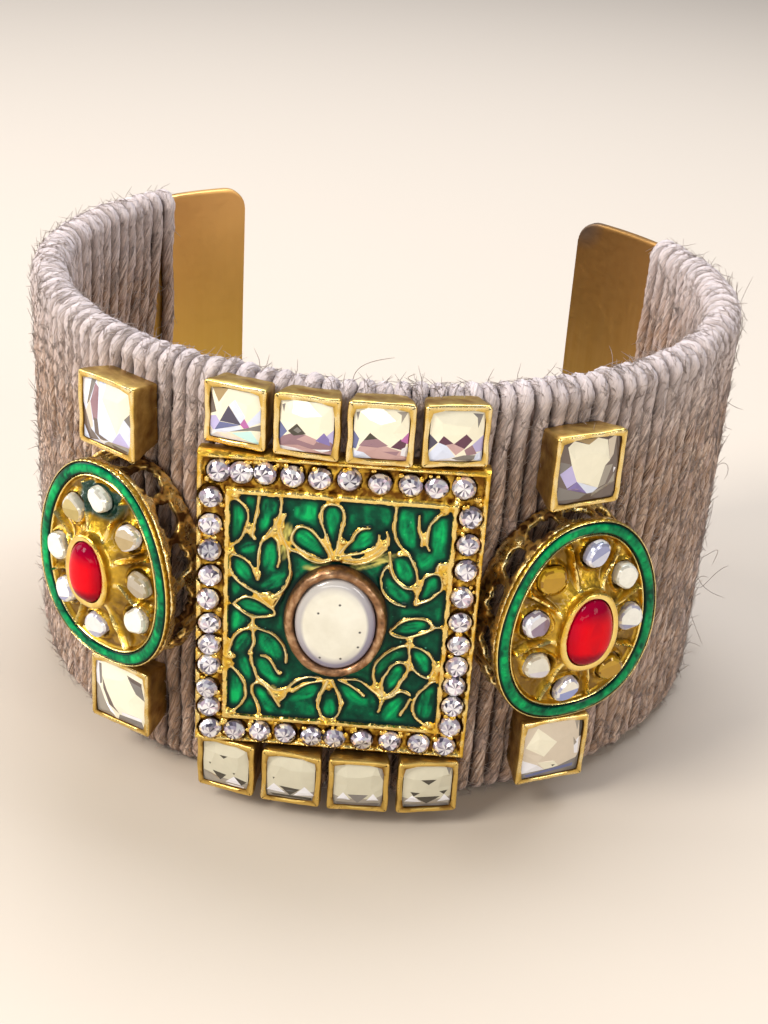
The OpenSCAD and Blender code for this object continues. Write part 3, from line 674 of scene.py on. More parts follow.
# Each line: half width, then the points that it runs through
reliefLines = [
    [0.13, -9.1, 10.4, -8.4, 9.9, -7.95, 9.2, -7.9, 8.4, -8.1, 7.5, -8.5, 6.6, -9.1, 5.9, -9.6, 5.5],
    [0.13, -7.0, 11.0, -7.05, 10, -7.15, 9, -7.4, 7.9, -7.5, 7.0, -7.3, 6.6],
    [0.14, -5.2, 11.0, -5.1, 10, -5.2, 9.1, -5.6, 8, -6.1, 7.2, -6.6, 6.5, -6.85, 5.8, -6.95, 5,
     -6.95, 4, -6.9, 3.2, -6.95, 2.6],
    [0.14, -5.6, 6.9, -5.3, 6.5, -5.15, 5.8, -5.1, 4.8, -5.25, 4.0],
    [0.13, -9.7, 5.0, -9.0, 4.95, -8.3, 4.7, -7.7, 4.2, -7.3, 3.6, -7.1, 3.0],
    [0.13, -9.5, 4.4, -9.4, 3.5, -8.9, 2.6, -8.1, 1.9, -7.4, 1.5, -6.8, 1.15],
    [0.15, -6.9, 1.1, -6.0, 1.0, -5.2, 1.3, -4.55, 2.0, -4.2, 3.0, -4.15, 4.0, -4.3, 5.0, -4.5, 6.2],
    [0.12, -6.8, 1.0, -6.2, 0.4, -5.6, 0.0, -5.2, 0.6, -4.9, 1.3],
    [0.13, -9.05, 0.0, -8.6, 0.5, -7.8, 0.86, -7.0, 0.65, -6.1, 0.15, -5.45, -0.35, -5.35, -0.7,
     -5.7, -0.95, -6.5, -1.1, -7.3, -1.15, -8.0, -0.85, -8.6, -0.4, -9.05, 0.0],
    [0.12, -7.3, -1.1, -7.3, -2.2],
    [0.13, -7.4, -2.2, -8.3, -2.7, -8.9, -3.35, -9.2, -4.2, -9.35, -4.9],
    [0.12, -7.3, -2.2, -6.4, -2.45, -5.6, -2.75, -4.95, -3.3, -4.5, -4.0, -4.25, -4.9, -4.25, -5.7],
    [0.14, -7.3, -2.3, -7.15, -3.2, -7.2, -4.0, -7.45, -4.8, -7.3, -5.7, -7.1, -6.5, -6.85, -7.3,
     -6.5, -7.8, -5.9, -8.2, -5.2, -8.6, -4.6, -8.6, -4.1, -8.4],
    [0.13, -9.6, -6.3, -9.0, -6.6, -8.4, -7.3, -7.9, -8.2, -7.75, -9.2, -7.85, -9.9, -8.3, -10.6,
     -8.9, -11.3],
    [0.12, -6.6, -7.9, -7.1, -8.2, -7.25, -8.8, -7.1, -9.4, -6.8, -10.1, -6.55, -10.8, -6.5, -11.7],
    [0.13, -6.2, -8.1, -5.6, -8.8, -5.2, -9.5, -4.9, -10.0, -4.65, -10.4],
    [0.12, -4.25, -8.6, -4.2, -9.25, -4.7, -9.8],
    [0.11, -6.5, -5.1, -5.9, -5.3, -5.4, -5.9, -5.1, -6.5, -4.85, -6.9],
    [0.14, -0.55, 5.6, -0.95, 6.6, -1.3, 7.7, -1.62, 8.6, -1.75, 9.3, -1.6, 10.0, -1.2, 10.4, -0.7,
     10.5, -0.2, 10.35, 0.15, 9.9, 0.3, 9.2, 0.1, 8.2, -0.1, 7.0, -0.3, 5.6],
    [0.14, -0.7, 5.3, -1.0, 6.0, -1.5, 6.7, -2.1, 7.5, -2.7, 8.0, -3.3, 8.15, -3.8, 7.9, -4.1, 7.3,
     -4.1, 6.7, -3.7, 6.15, -3.0, 5.7, -2.2, 5.3, -1.4, 5.05, -0.7, 5.2],
    [0.13, 0.0, 5.8, 0.5, 6.6, 1.0, 7.2, 1.4, 7.95, 1.9, 8.35, 2.5, 8.45],
    [0.12, 0.1, 5.55, 1.0, 5.75, 2.0, 6.05, 2.9, 6.5, 3.3, 7.1, 3.3, 7.9],
    [0.13, 0.3, 5.0, 1.5, 4.9, 2.4, 5.15, 3.3, 5.8, 4.0, 6.7, 4.1, 7.5, 3.95, 8.2],
    [0.10, 0.4, 5.3, 1.4, 5.3, 2.4, 5.6, 3.3, 6.3, 3.8, 7.0],
    [0.12, -0.6, 5.1, -1.6, 4.75, -2.6, 5.0, -3.5, 5.6, -4.3, 5.9, -4.8, 6.8, -5.1, 7.8, -4.7, 9.2],
    [0.10, -5.6, 8.6, -5.4, 7.6, -5.0, 6.6],
    [0.14, 4.6, 11.0, 4.6, 10.0, 4.55, 9.0, 4.6, 8.2, 4.85, 7.4, 5.3, 6.75, 5.9, 6.2, 6.4, 5.35, 6.7,
     4.6, 6.85, 3.8, 6.9, 2.6, 6.9, 1.4],
    [0.15, 4.35, 6.2, 4.4, 5.4, 4.5, 4.7, 4.8, 3.9, 5.3, 3.3, 5.9, 2.9, 6.8, 2.9],
    [0.12, 4.4, 5.0, 4.0, 4.6, 3.7, 3.8, 3.75, 3.0, 4.0, 2.2, 4.5, 1.6, 5.2, 1.2, 6.0, 1.05],
    [0.12, 6.9, 1.35, 7.9, 1.8, 8.6, 2.5, 9.0, 3.0, 9.0, 3.8, 8.8, 4.35, 8.3, 4.5, 7.8, 4.3, 7.4,
     3.9, 7.2, 3.2, 6.95, 2.4],
    [0.13, 8.5, 4.8, 8.6, 5.4, 9.3, 5.5],
    [0.13, 8.6, 10.4, 8.0, 9.8, 7.6, 9.2, 7.4, 8.4, 7.4, 7.6, 7.5, 7.1, 7.7, 6.7],
    [0.12, 6.6, 10.0, 6.6, 9.2, 6.75, 8.4, 6.95, 7.8, 7.0, 7.1],
    [0.13, 4.8, -1.6, 5.4, -0.9, 6.1, -0.4, 7.0, -0.1, 7.8, -0.15, 8.3, -0.5, 8.55, -0.9, 8.1, -1.35,
     7.2, -1.8, 6.4, -2.1, 5.6, -2.1, 5.0, -1.9, 4.8, -1.6],
    [0.10, 8.5, -0.9, 9.3, -0.8],
    [0.13, 6.5, -2.9, 5.8, -3.1, 5.0, -3.6, 4.3, -4.3, 3.8, -5.0, 3.6, -5.8, 3.6, -6.4, 3.85, -7.3],
    [0.13, 6.6, -4.9, 5.9, -4.75, 5.3, -5.1, 4.9, -5.7, 4.6, -6.3, 4.45, -7.0, 4.45, -7.8, 4.55,
     -8.4],
    [0.14, 6.6, -4.9, 6.65, -5.7, 6.4, -6.3, 6.1, -6.9, 5.8, -7.6, 5.3, -8.2, 4.8, -8.6],
    [0.12, 6.65, -2.5, 6.65, -3.6, 6.75, -5.0],
    [0.12, 7.0, -3.0, 7.7, -3.2, 8.3, -3.6, 8.7, -4.1, 8.95, -4.8, 8.9, -5.5, 8.6, -6.1, 8.1, -6.1,
     7.5, -5.75, 6.9, -5.1],
    [0.13, 9.2, -6.4, 8.7, -6.7, 8.2, -7.3, 7.7, -8.0, 7.4, -8.9, 7.35, -9.6, 7.6, -10.4, 8.1, -10.9,
     8.7, -11.3],
    [0.16, 4.6, -8.5, 5.2, -8.5, 5.8, -8.0, 6.3, -7.8, 7.0, -8.1],
    [0.17, 4.0, -7.5, 4.5, -8.4, 4.5, -9.3, 4.25, -10.2],
    [0.11, 7.0, -8.6, 6.8, -9.2, 6.5, -9.8, 6.3, -10.4],
    [0.15, -0.9, -7.3, -2.0, -7.6, -2.9, -8.1, -3.6, -8.7],
    [0.12, -1.2, -7.0, -2.2, -7.0, -3.2, -7.5, -3.8, -8.1, -4.2, -8.5],
    [0.11, 0.6, -7.1, 1.5, -7.5, 2.2, -8.0, 2.9, -8.6],
    [0.12, 1.0, -6.95, 2.3, -6.95, 3.0, -7.4, 3.6, -7.9, 4.2, -8.4],
    [0.19, -0.4, -7.2, -0.7, -8.0, -1.05, -8.9, -1.25, -9.5],
    [0.19, -0.1, -7.2, 0.3, -8.0, 0.7, -8.8, 0.9, -9.6],
    [0.11, -1.2, -9.5, -1.1, -10.5, -0.8, -11.2, -0.5, -11.7],
    [0.11, 0.9, -9.8, 0.7, -10.7, 0.2, -11.4, -0.2, -11.8],
]
# Each knot of gold: x, y, radius, and its pull to one side
reliefKnots = [
    [-7.65, 7.5, 0.42, 0, -0.5], [-6.9, 3.2, 0.3, 0, -0.4], [-6.5, 6.7, 0.28, 0.2, 0.2],
    [-5.9, 1.0, 0.5, 0.7, 0], [-5.6, 0.7, 0.45, 0, -0.4], [-7.4, -2.2, 0.32, 0, 0],
    [-7.45, -4.95, 0.28, 0, 0], [-9.5, -5.3, 0.55, 0.5, -0.1], [-9.4, -6.0, 0.35, 0.4, -0.2],
    [-6.55, -7.8, 0.27, 0.3, -0.2], [-6.5, -11.6, 0.25, 0, -0.4], [-5.0, -9.2, 0.42, 0.3, 0],
    [-4.75, -6.8, 0.24, 0, 0], [-9.5, 5.2, 0.45, 0.3, 0.2], [-9.0, 10.7, 0.45, -0.4, 0.2],
    [-4.95, 8.0, 0.3, 0, 0.3], [-5.5, 7.5, 0.3, 0.2, -0.5], [-0.85, 10.95, 0.36, 0.3, 0.1],
    [-1.0, 6.6, 0.26, -0.2, 0.4], [0.25, 7.0, 0.3, 0.1, -0.5], [-0.2, 5.3, 0.34, 0.6, 0],
    [3.8, 6.9, 0.3, 0.2, 0.5], [2.4, 5.5, 0.2, 0.8, 0.2], [4.5, 10.9, 0.3, 0, 0.2],
    [5.1, 6.2, 0.3, 0.8, 0], [6.85, 3.1, 0.33, 0, -0.4], [6.9, 1.45, 0.2, 0, 0],
    [9.25, 4.4, 0.6, 0, -0.7], [8.8, 5.1, 0.25, 0.3, 0], [7.2, 7.8, 0.25, 0, 0.5],
    [8.8, 10.6, 0.45, 0.3, 0.2], [6.65, -2.5, 0.3, 0, -0.2], [6.75, -4.9, 0.24, 0, -0.3],
    [9.2, -4.8, 0.4, 0, -1.2], [9.0, -6.1, 0.4, 0.2, 0.3], [4.0, -7.5, 0.36, 0, 0],
    [4.55, -8.6, 0.38, 0, -0.3], [8.9, -11.2, 0.42, 0.3, -0.2], [-0.35, -11.8, 0.45, 0, 0],
    [-0.3, -7.7, 0.32, 0.05, -0.5], [0.9, -9.5, 0.26, 0, 0], [-9.3, -11.4, 0.4, -0.3, -0.3],
    [6.4, -11.9, 0.2, 0, 0],
]
# The enamel shines brighter in each leaf: x, y of the middle, length, width, direction
leaves = [
    [-9.0, 8, 4.5, 2.1, 88], [-7.8, 9.9, 2.4, 1, 95], [-6.2, 9, 4.2, 2, 80], [-7.7, 5.7, 2.6, 1.2, 25],
    [-5.9, 4.9, 3.6, 1.6, 84], [-8.2, 3.5, 3.6, 1.7, 131], [-5.5, 2.4, 3.2, 1.5, 40],
    [-7.2, -0.15, 3.6, 1.6, 165], [-8.1, -3.9, 3, 1.5, 62], [-5.6, -4.1, 3.9, 2, 118],
    [-7.8, -6.5, 2.8, 1.2, 100], [-5.8, -6.7, 3.3, 1.5, 127], [-8.8, -8.9, 4.4, 1.9, 95],
    [-5.8, -10.2, 3.4, 1.5, 120], [-2.3, -8.7, 3.2, 1.6, 28], [2, -8.6, 3.2, 1.6, 140],
    [-0.1, -10.3, 2.3, 1.6, 90], [4.5, -4.9, 3.4, 1.2, 55], [5.6, -6.5, 3.2, 1.7, 65],
    [7.9, -4.6, 3, 1.7, 124], [8.5, -8.8, 4.4, 1.7, 86], [5.6, -9.8, 3.1, 1.6, 60],
    [6.7, -1.1, 3.4, 1.5, 11], [5.7, 4.5, 2.7, 1.6, 115], [5.2, 2.4, 3.4, 1.4, 125], [8.1, 3, 3, 1.5, 59],
    [8.3, 8.2, 4.4, 1.7, 90], [5.7, 8.7, 4.4, 1.7, 103], [-0.7, 8.6, 4.2, 1.6, 95],
    [-2.6, 6.7, 3.8, 1.9, 145], [1.9, 7.1, 3.2, 1.6, 45], [7.2, 5.7, 1.9, 1.5, 45],
    [-8.9, 1.7, 1.6, 0.9, 100], [-8.9, -1.6, 2.2, 1.1, 80], [-3, 9.4, 1.8, 2.6, 90],
]


def onPlaque():
    return onCuff(angleOver(plaque["x"]), plaque["z"], plaque["turn"])


def borderPlaces():  # hand-set stones, so no row is quite even
    top = (-10.5, -8.6, -6.5, -4.25, -2.0, 0.5, 3.1, 5.7, 7.85, 10.2)
    bottom = (-11.0, -8.6, -6.4, -4.0, -1.75, 0.45, 2.9, 5.5, 8.1, 10.5)
    left = (10.45, 7.7, 5.1, 2.65, 0.3, -2.2, -4.4, -6.6, -8.9, -11.05)
    right = (10.1, 7.5, 5.0, 2.3, -0.1, -2.4, -4.75, -6.8, -9.0, -11.15)
    return ([(x, 12.8) for x in top] + [(x, -13.3) for x in bottom]
            + [(-11.15, y) for y in left] + [(10.9, y) for y in right])


webReach, webEdge = 0.21, 0.74  # gold creeps this far into the corners between lines


def reliefChain(row):
    half, *places = row
    seed = random.Random(int(abs(places[0] * 37 + places[1] * 91)))
    points = zip(places[::2], places[1::2])
    return smoothChain([(x, y, half * seed.uniform(0.85, 1.35)) for x, y in points])


# How far points stand from the relief, in half widths, how wide it is there, and the web in its corners
def reliefAt(px, py):
    ratio = np.full(px.shape, 1e9)
    width = np.zeros(px.shape)
    web = np.zeros(px.shape)
    for row in reliefLines:
        chain = reliefChain(row)
        middleX = sum(p[0] for p in chain) / len(chain)
        middleY = sum(p[1] for p in chain) / len(chain)
        reach = max(hypot(p[0] - middleX, p[1] - middleY) for p in chain) + 1.6
        close = np.hypot(px - middleX, py - middleY) < reach
        d, w = nearest(px[close], py[close], chain)
        w = np.maximum(w, 0.15)
        web[close] += np.exp((w - 0.13 - d) / webReach)
        new = d / w
        old = ratio[close]
        width[close] = np.where(new < old, w, width[close])
        ratio[close] = np.minimum(old, new)
    for x, y, r, dx, dy in reliefKnots:
        d, w = nearest(px, py, [(x, y, r), (x + dx, y + dy, r * 0.55)])
        web += np.exp((w - 0.13 - d) / webReach)
        new = d / w
        width = np.where(new < ratio, w, width)
        ratio = np.minimum(ratio, new)
    return ratio, width, web


def makePlaqueWires(gilt):
    place = onPlaque()
    data = curveData("wires")
    for row in reliefLines:
        chain = reliefChain(row)
        lift = [plaque["enamel"] + 0.07 + 0.03 * noise.noise((x, y, 3.0)) for x, y, _ in chain]
        addLine(data, [place @ Vector((x, y, z)) for (x, y, _), z in zip(chain, lift)],
                [max(w * 0.68, 0.09) * (0.95 + 0.3 * noise.noise((x * 0.9, y * 0.9, 7.0)))
                 for x, y, w in chain])
    result = curveToMesh("plaque_wires", data)
    piece = finishMesh("plaque_wires", result, [gilt], (), None)
    paint(piece, "worn", [0.62 + 0.25 * noise.noise(v.co * 700) for v in result.vertices])


def makePlaqueCast(gilt):
    halfX, halfY = plaque["size"][0] / 2, plaque["size"][1] / 2
    fx, fy, fm = *plaque["field"], plaque["fieldMiddle"]
    xs = stops(-halfX, 4, -halfX + 0.42, 17, -fx - 0.4, 5, -fx, 156,
               fx, 5, fx + 0.4, 17, halfX - 0.42, 4, halfX)
    ys = stops(-halfY, 4, -halfY + 0.42, 15, fm - fy - 0.4, 5, fm - fy, 186, fm + fy, 5, fm + fy + 0.4, 15,
               halfY - 0.42, 4, halfY)
    mesh, rows = gridOf(xs, ys, "worn")
    px, py = np.meshgrid(np.array(xs), np.array(ys), indexing="ij")
    rough = roughGrid(xs, ys, 1.1, 3.1, 4)
    qx, qy = px + 0.07 * rough, py - 0.07 * rough
    edge = np.minimum(halfX - np.abs(qx), halfY - np.abs(qy))
    inField = np.minimum(fx - np.abs(qx), fy - np.abs(qy - fm))
    z = np.full(px.shape, plaque["face"]) + 0.06 * rough
    # Channel between the outer and the inner rim, with a seat for each stone
    channel = ramp(edge, plaque["rim"] - 0.1, plaque["rim"] + 0.12) * (1 - ramp(inField, -0.55, -0.36))
    z -= (plaque["face"] - plaque["channel"]) * channel
    z += 0.2 * channel * rough
    for x, y in borderPlaces():
        d = np.hypot(px - x, py - y)
        z = np.where(d < 1.35, np.minimum(z, plaque["seat"] + 0.9 * ramp(d, 0.93, 1.22)), z)
    sunk = ramp(inField, -0.03, 0.1)
    z = z * (1 - sunk) + plaque["floor"] * sunk
    ratio, width, web = reliefAt(qx, qy)
    web += np.exp(-np.clip(inField, 0, 9) / 0.2)
    top = plaque["peak"] + 0.25 * np.minimum(width - 0.13, 0.25) - 0.25 * (1 - ramp(width, 0.2, 0.28))
    ridge = top - (top - plaque["enamel"]) * ratio ** 2 * 0.95
    z = np.where(sunk > 0.01, np.maximum(z, np.maximum(ridge, plaque["floor"])),
                 np.maximum(z, np.where(inField > -0.3, ridge, 0)))
    webbed = ramp(web, webEdge - 0.06, webEdge + 0.12)
    webTop = plaque["enamel"] + 0.11 + 0.05 * rough
    z = np.where(sunk > 0.01, np.maximum(z, plaque["floor"] + (webTop - plaque["floor"]) * webbed), z)
    z = np.where(sunk > 0.5, blur(z, 1), z)
    z -= 0.16 * (1 - ramp(edge, 0.0, 0.22)) ** 2
    hatch = np.sin(px * 17 + py * 9) * ramp(width, 0.2, 0.34)
    z += 0.03 * hatch * (ratio < 1)
    worn = np.clip(0.46 + (z - blur(z, 40)) * 1.5, 0, 1)
    worn = np.where((sunk < 0.5) & (channel > 0.5), worn * 0.32, worn)
    worn = np.where((sunk > 0.5) & (width < 0.19), 0.3 * worn + 0.5, worn)
    worn = np.where((sunk > 0.5) & (web > webEdge), np.maximum(worn, 0.5 + 0.35 * rough), worn)
    worn = np.where((px > fx) & (px < fx + 0.45) & (sunk < 0.5), 0.85, worn)
    worn += 0.3 * rough * (1 - sunk)
    layer = mesh.verts.layers.float["worn"]
    fillGrid(rows, z)
    fillGrid(rows, worn, layer)
    # Side wall and back, then the foot on the winding
    rim = boundary(mesh)
    for depth, grow in ((0.9, 0.02), (1.0, -0.12), (None, -0.1)):
        lower, rim = extrudeRim(mesh, rim)
        for vertex in lower:
            vertex.co.z = vertex.co.z - depth if depth else plaque["back"]
            vertex.co.x *= 1 + grow / halfX
            vertex.co.y *= 1 + grow / halfY
            vertex[layer] = 0.26 if depth else 0.15
    bmesh.ops.holes_fill(mesh, edges=rim)
    addFoot(mesh, layer)
    addBeads(mesh, layer)
    finishPiece("plaque_cast", mesh, [gilt], ["plaque"], onPlaque(), 60, outward=True)


def addFoot(mesh, layer):
    foot = bmesh.ops.create_cube(mesh, size=1)["verts"]
    slabs = [f for f in mesh.faces if all(v in foot for v in f.verts)]
    bmesh.ops.scale(mesh, verts=foot, vec=(*plaque["foot"], 1.0))
    for vertex in foot:
        vertex.co.z = plaque["back"] + 0.1 if vertex.co.z > 0 else -1.0
    wide = list(dict.fromkeys(e for f in slabs for e in f.edges
                              if abs(e.verts[0].co.x - e.verts[1].co.x) > 1))
    bmesh.ops.subdivide_edges(mesh, edges=wide, cuts=15, use_grid_fill=True)
    for vertex in mesh.verts:
        if vertex.co.z < -0.5:
            vertex.co.z = sqrt(crestRadius ** 2 - vertex.co.x ** 2) - crestRadius + 0.05
            vertex[layer] = 0.1


def addBeads(mesh, layer):  # gold pushed over the stones where two of them meet, and between them
    reachX, reachY = plaque["borderReach"]
    seed = random.Random(5)
    beside = [(side, off) for side in (-1, 1) for off in (-0.62, 0.62)]
    beads = [(reachX * (2 * (k + 0.5) / 9 - 1), side * reachY + off)
             for k in range(9) for side, off in beside]
    beads += [(side * reachX + off, reachY * (2 * (k + 0.5) / 11 - 1))
              for k in range(11) for side, off in beside]
    for _ in range(170):
        off, run = seed.uniform(-0.95, 0.95), seed.uniform(-1, 1)
        side = seed.choice((-1, 1))
        beads.append((run * reachX, side * reachY + off) if seed.random() < 0.46
                     else (side * reachX + off, run * reachY))
    taken = borderPlaces()
    for x, y in beads:
        if min(hypot(x - a, y - b) for a, b in taken) < 0.97:
            continue
        size = seed.uniform(0.15, 0.3)
        place = (Matrix.Translation((x + seed.uniform(-0.16, 0.16), y + seed.uniform(-0.16, 0.16),
                                     seed.uniform(2.05, 2.28)))
                 @ Matrix.Diagonal((seed.uniform(0.8, 1.5), seed.uniform(0.8, 1.5), 0.75, 1)))
        bead = bmesh.ops.create_icosphere(mesh, subdivisions=2, radius=size, matrix=place)
        for vertex in bead["verts"]:
            vertex[layer] = 0.72


def alongAcross(px, py, x, y, direction):  # places seen from the middle of a slanted oval
    a = radians(direction)
    return (px - x) * cos(a) + (py - y) * sin(a), (py - y) * cos(a) - (px - x) * sin(a)


def makePlaqueEnamel(enamel):
    fx, fy, fm = *plaque["field"], plaque["fieldMiddle"]
    xs = stops(-fx - 0.03, 126, fx + 0.03)
    ys = stops(fm - fy - 0.03, 150, fm + fy + 0.03)
    mesh, rows = gridOf(xs, ys, "glow", "away", "streak", "bare")
    px, py = np.meshgrid(np.array(xs), np.array(ys), indexing="ij")
    web = reliefAt(px, py)[2]
    edge = np.minimum(fx - np.abs(px), fy - np.abs(py - fm))
    web += np.exp(-np.clip(edge, 0, 9) / 0.2)
    # distance from the gold, which sets the painted shade along the lines
    away = np.clip(webReach * np.log(webEdge / np.maximum(web, 1e-9)), 0, 9)
    oval = (np.hypot(px / plaque["oval"][0], (py - plaque["ovalMiddle"]) / plaque["oval"][1]) - 1) * 4.8
    away = np.minimum(away, np.clip(oval, 0, 9))
    ripple = roughGrid(xs, ys, 0.8, 2.3, 2)
    z = plaque["enamel"] - 0.1 + 0.14 * np.exp(-away / 0.22) + 0.035 * ripple
    glow = np.zeros(px.shape)
    streak = np.zeros(px.shape)
    for k, (x, y, length, broad, direction) in enumerate(leaves):
        along, across = alongAcross(px, py, x, y, direction)
        within = 1 - (2 * along / length) ** 2 - (2 * across / broad) ** 2
        mine = np.clip(within * 1.6, 0, 1)
        glow = np.maximum(glow, mine)
        for i, j in np.argwhere(mine > 0):
            u, v = across[i, j], along[i, j]
            streak[i, j] = (noise.noise((u * 3.2, v * 0.6, k * 3.1))
                            + 0.6 * noise.noise((u * 8.5, v * 1.3, k * 1.7)))
        z += 0.05 * mine * streak
    bare = np.zeros(px.shape)
    for x, y, length, broad, direction in plaque["bare"]:
        along, across = alongAcross(px, py, x, y, direction)
        within = np.clip(1.6 - 1.6 * (2 * along / length) ** 2 - 1.6 * (2 * across / broad) ** 2, 0, 1)
        for i, j in np.argwhere(within > 0):
            lines = 0.45 + 1.7 * noise.noise((along[i, j] * 0.9, across[i, j] * 5.5, x))
            bare[i, j] = max(bare[i, j], within[i, j] * min(max(lines, 0), 1))
    z += 0.05 * bare
    fillGrid(rows, z)
    for name, values in (("glow", glow), ("away", np.clip(away / 0.6, 0, 1)),
                         ("streak", np.clip(0.5 + 0.75 * streak, 0, 1)), ("bare", bare)):
        fillGrid(rows, values, mesh.verts.layers.float[name])
    for vertex in extrudeRim(mesh, boundary(mesh))[0]:
        vertex.co.z = plaque["floor"] - 0.1
    bmesh.ops.holes_fill(mesh, edges=boundary(mesh))
    finishPiece("plaque_enamel_poured", mesh, [enamel], ["plaque_enamel"], onPlaque(), 60,
                outward=True)


def enamelMaterial(name):
    material, tree, shader = startMaterial(name, {
        "Roughness": 0.16, "Specular IOR Level": 0.06, "Coat Weight": 0.16, "Coat Roughness": 0.04})
    glow, away, streak = (attribute(tree, label) for label in ("glow", "away", "streak"))
    cloud = objectNoise(tree, 420, 4, 0.65)
    speck = objectNoise(tree, 2600, 2, 0.5)
    light = maths(tree, "MULTIPLY", glow, spread(tree, streak, 0.15, 0.85, 0.2, 0.62))
    stroke = objectNoise(tree, 700, 2, 0.6, stretch=(1.0, 1.0, 0.45))
    light = maths(tree, "ADD", light, spread(tree, cloud, 0.32, 0.68, 0.0, 0.55), clamp=True)
    light = maths(tree, "ADD", light, spread(tree, stroke, 0.35, 0.65, -0.16, 0.16), clamp=True)
    # painted shade: darker beside the gold lines and rims
    light = maths(tree, "MULTIPLY", light, spread(tree, away, 0.1, 0.7, 0.4, 1.1))
    tint = blend(tree, spread(tree, light, 0.0, 0.45), (0.0, 0.026, 0.016), (0.0, 0.085, 0.038))
    tint = blend(tree, spread(tree, light, 0.35, 0.85), tint, (0.0, 0.27, 0.082))
    # painted highlight: the brightest spots, such as the ring's crest, turn pale green
    tint = blend(tree, spread(tree, light, 0.85, 1.1), tint, (0.002, 0.44, 0.112))
    # painted shade: near black right beside the gold
    tint = blend(tree, spread(tree, away, 0.12, 0.62, 0.95, 0.0), tint, (0.0, 0.01, 0.009))
    tint = blend(tree, attribute(tree, "bare"), tint, (0.66, 0.58, 0.14))
    tint = blend(tree, spread(tree, speck, 0.72, 0.8, 0.0, 0.5), tint, (0.12, 0.55, 0.34))
    tree.links.new(tint, shader.inputs["Base Color"])
    addBump(tree, shader, cloud, 0.35, 0.00012)
    return material


# Rings of points, drawn from the outside in, joined into one surface, with values for its layers
def joinRings(rings, layers=None):
    count = len(rings[0])
    mesh, rows = gridOf(stops(0, count, 1), stops(0, len(rings) - 1, 1), *(layers or {}))
    for i, row in enumerate(rows):
        for ring, vertex in zip(rings, row):
            vertex.co = ring[i % count]
    for name, values in (layers or {}).items():
        fillGrid(rows, [[float(ring[i % count]) for ring in values] for i in range(count + 1)],
                 mesh.verts.layers.float[name])
    bmesh.ops.remove_doubles(mesh, verts=mesh.verts, dist=0.0005)
    return mesh


def ringedSurface(rings):  # closed at both ends
    mesh = joinRings(rings)
    bmesh.ops.holes_fill(mesh, edges=boundary(mesh))
    bmesh.ops.recalc_face_normals(mesh, faces=mesh.faces)
    return mesh


def paintCorners(mesh, name, choose):  # a flat colour for each face
    layer = mesh.loops.layers.float_color.new(name)
    for face in mesh.faces:
        shade = choose(face)
        for corner in face.loops:
            corner[layer] = (*shade[:3], 1)


# Centre setting: a copper bezel with a rolled lip round a flat milky oval stone
centre = {"outer": plaque["oval"], "inner": (3.6, 4.55), "low": 1.46, "top": 3.36, "count": 96}


def ovalRing(half, z, wobble, seed):
    ring = []
    for k in range(centre["count"]):
        t = tau * k / centre["count"]
        grow = wobble * noise.noise((cos(t) * 1.4, sin(t) * 1.4, seed))
        ring.append(Vector(((half[0] + grow) * cos(t),
                            (half[1] + grow) * sin(t) + plaque["ovalMiddle"], z)))
    return ring


def makeCentre(copper, milky):
    (ox, oy), (ix, iy) = centre["outer"], centre["inner"]
    low, top = centre["low"], centre["top"]
    steps = [(0.0, low), (0.0, 2.1), (-0.02, 2.5), (0.03, 2.85), (0.1, 3.1), (0.24, 3.28), (0.45, top),
             (0.66, 3.3), (0.82, 3.16), (0.9, 2.9), (0.9, 2.4)]
    rings = [ovalRing((ox - d, oy - d), z, 0.1, 1.0 + z * 0.4) for d, z in steps]
    mesh = ringedSurface(rings)
    worn = mesh.verts.layers.float.new("worn")
    for vertex in mesh.verts:
        rough = noise.noise(vertex.co * 1.4) + 0.7 * noise.noise(vertex.co * 3.7)
        vertex.co.z += 0.08 * rough if vertex.co.z > 2.6 else 0
        vertex[worn] = float(np.clip(0.1 + (vertex.co.z - 2.3) * 0.45 + 0.4 * rough, 0, 1))
    finishPiece("centre_bezel_rolled", mesh, [copper], ["centre_bezel"], onPlaque(), 60)
    domed = [(0.12, 2.02), (0.05, 2.4), (0.05, 2.95), (0.12, 3.14), (0.3, 3.29), (0.6, 3.38),
             (0.86, 3.43), (1.4, 3.5), (2.2, 3.54), (3.1, 3.56)]
    mesh = ringedSurface([ovalRing((ix - d, iy - d), z, 0.03, 7.0) for d, z in domed])
    shade = mesh.verts.layers.float.new("edge")
    # painted shade in the bevel band near the edge, strongest towards the bottom and the right
    for vertex in mesh.verts:
        reach = hypot(vertex.co.x / ix, (vertex.co.y - plaque["ovalMiddle"]) / iy)
        slope = (vertex.co.y - plaque["ovalMiddle"]) / iy
        vertex[shade] = float(np.clip((reach - 0.77) * 14, 0, 1) * np.clip(
            0.8 - slope * 0.35 + 0.2 * vertex.co.x / ix, 0.35, 1.0))
    finishPiece("centre_stone_milky", mesh, [milky], ["centre_stone"], onPlaque(), 60)


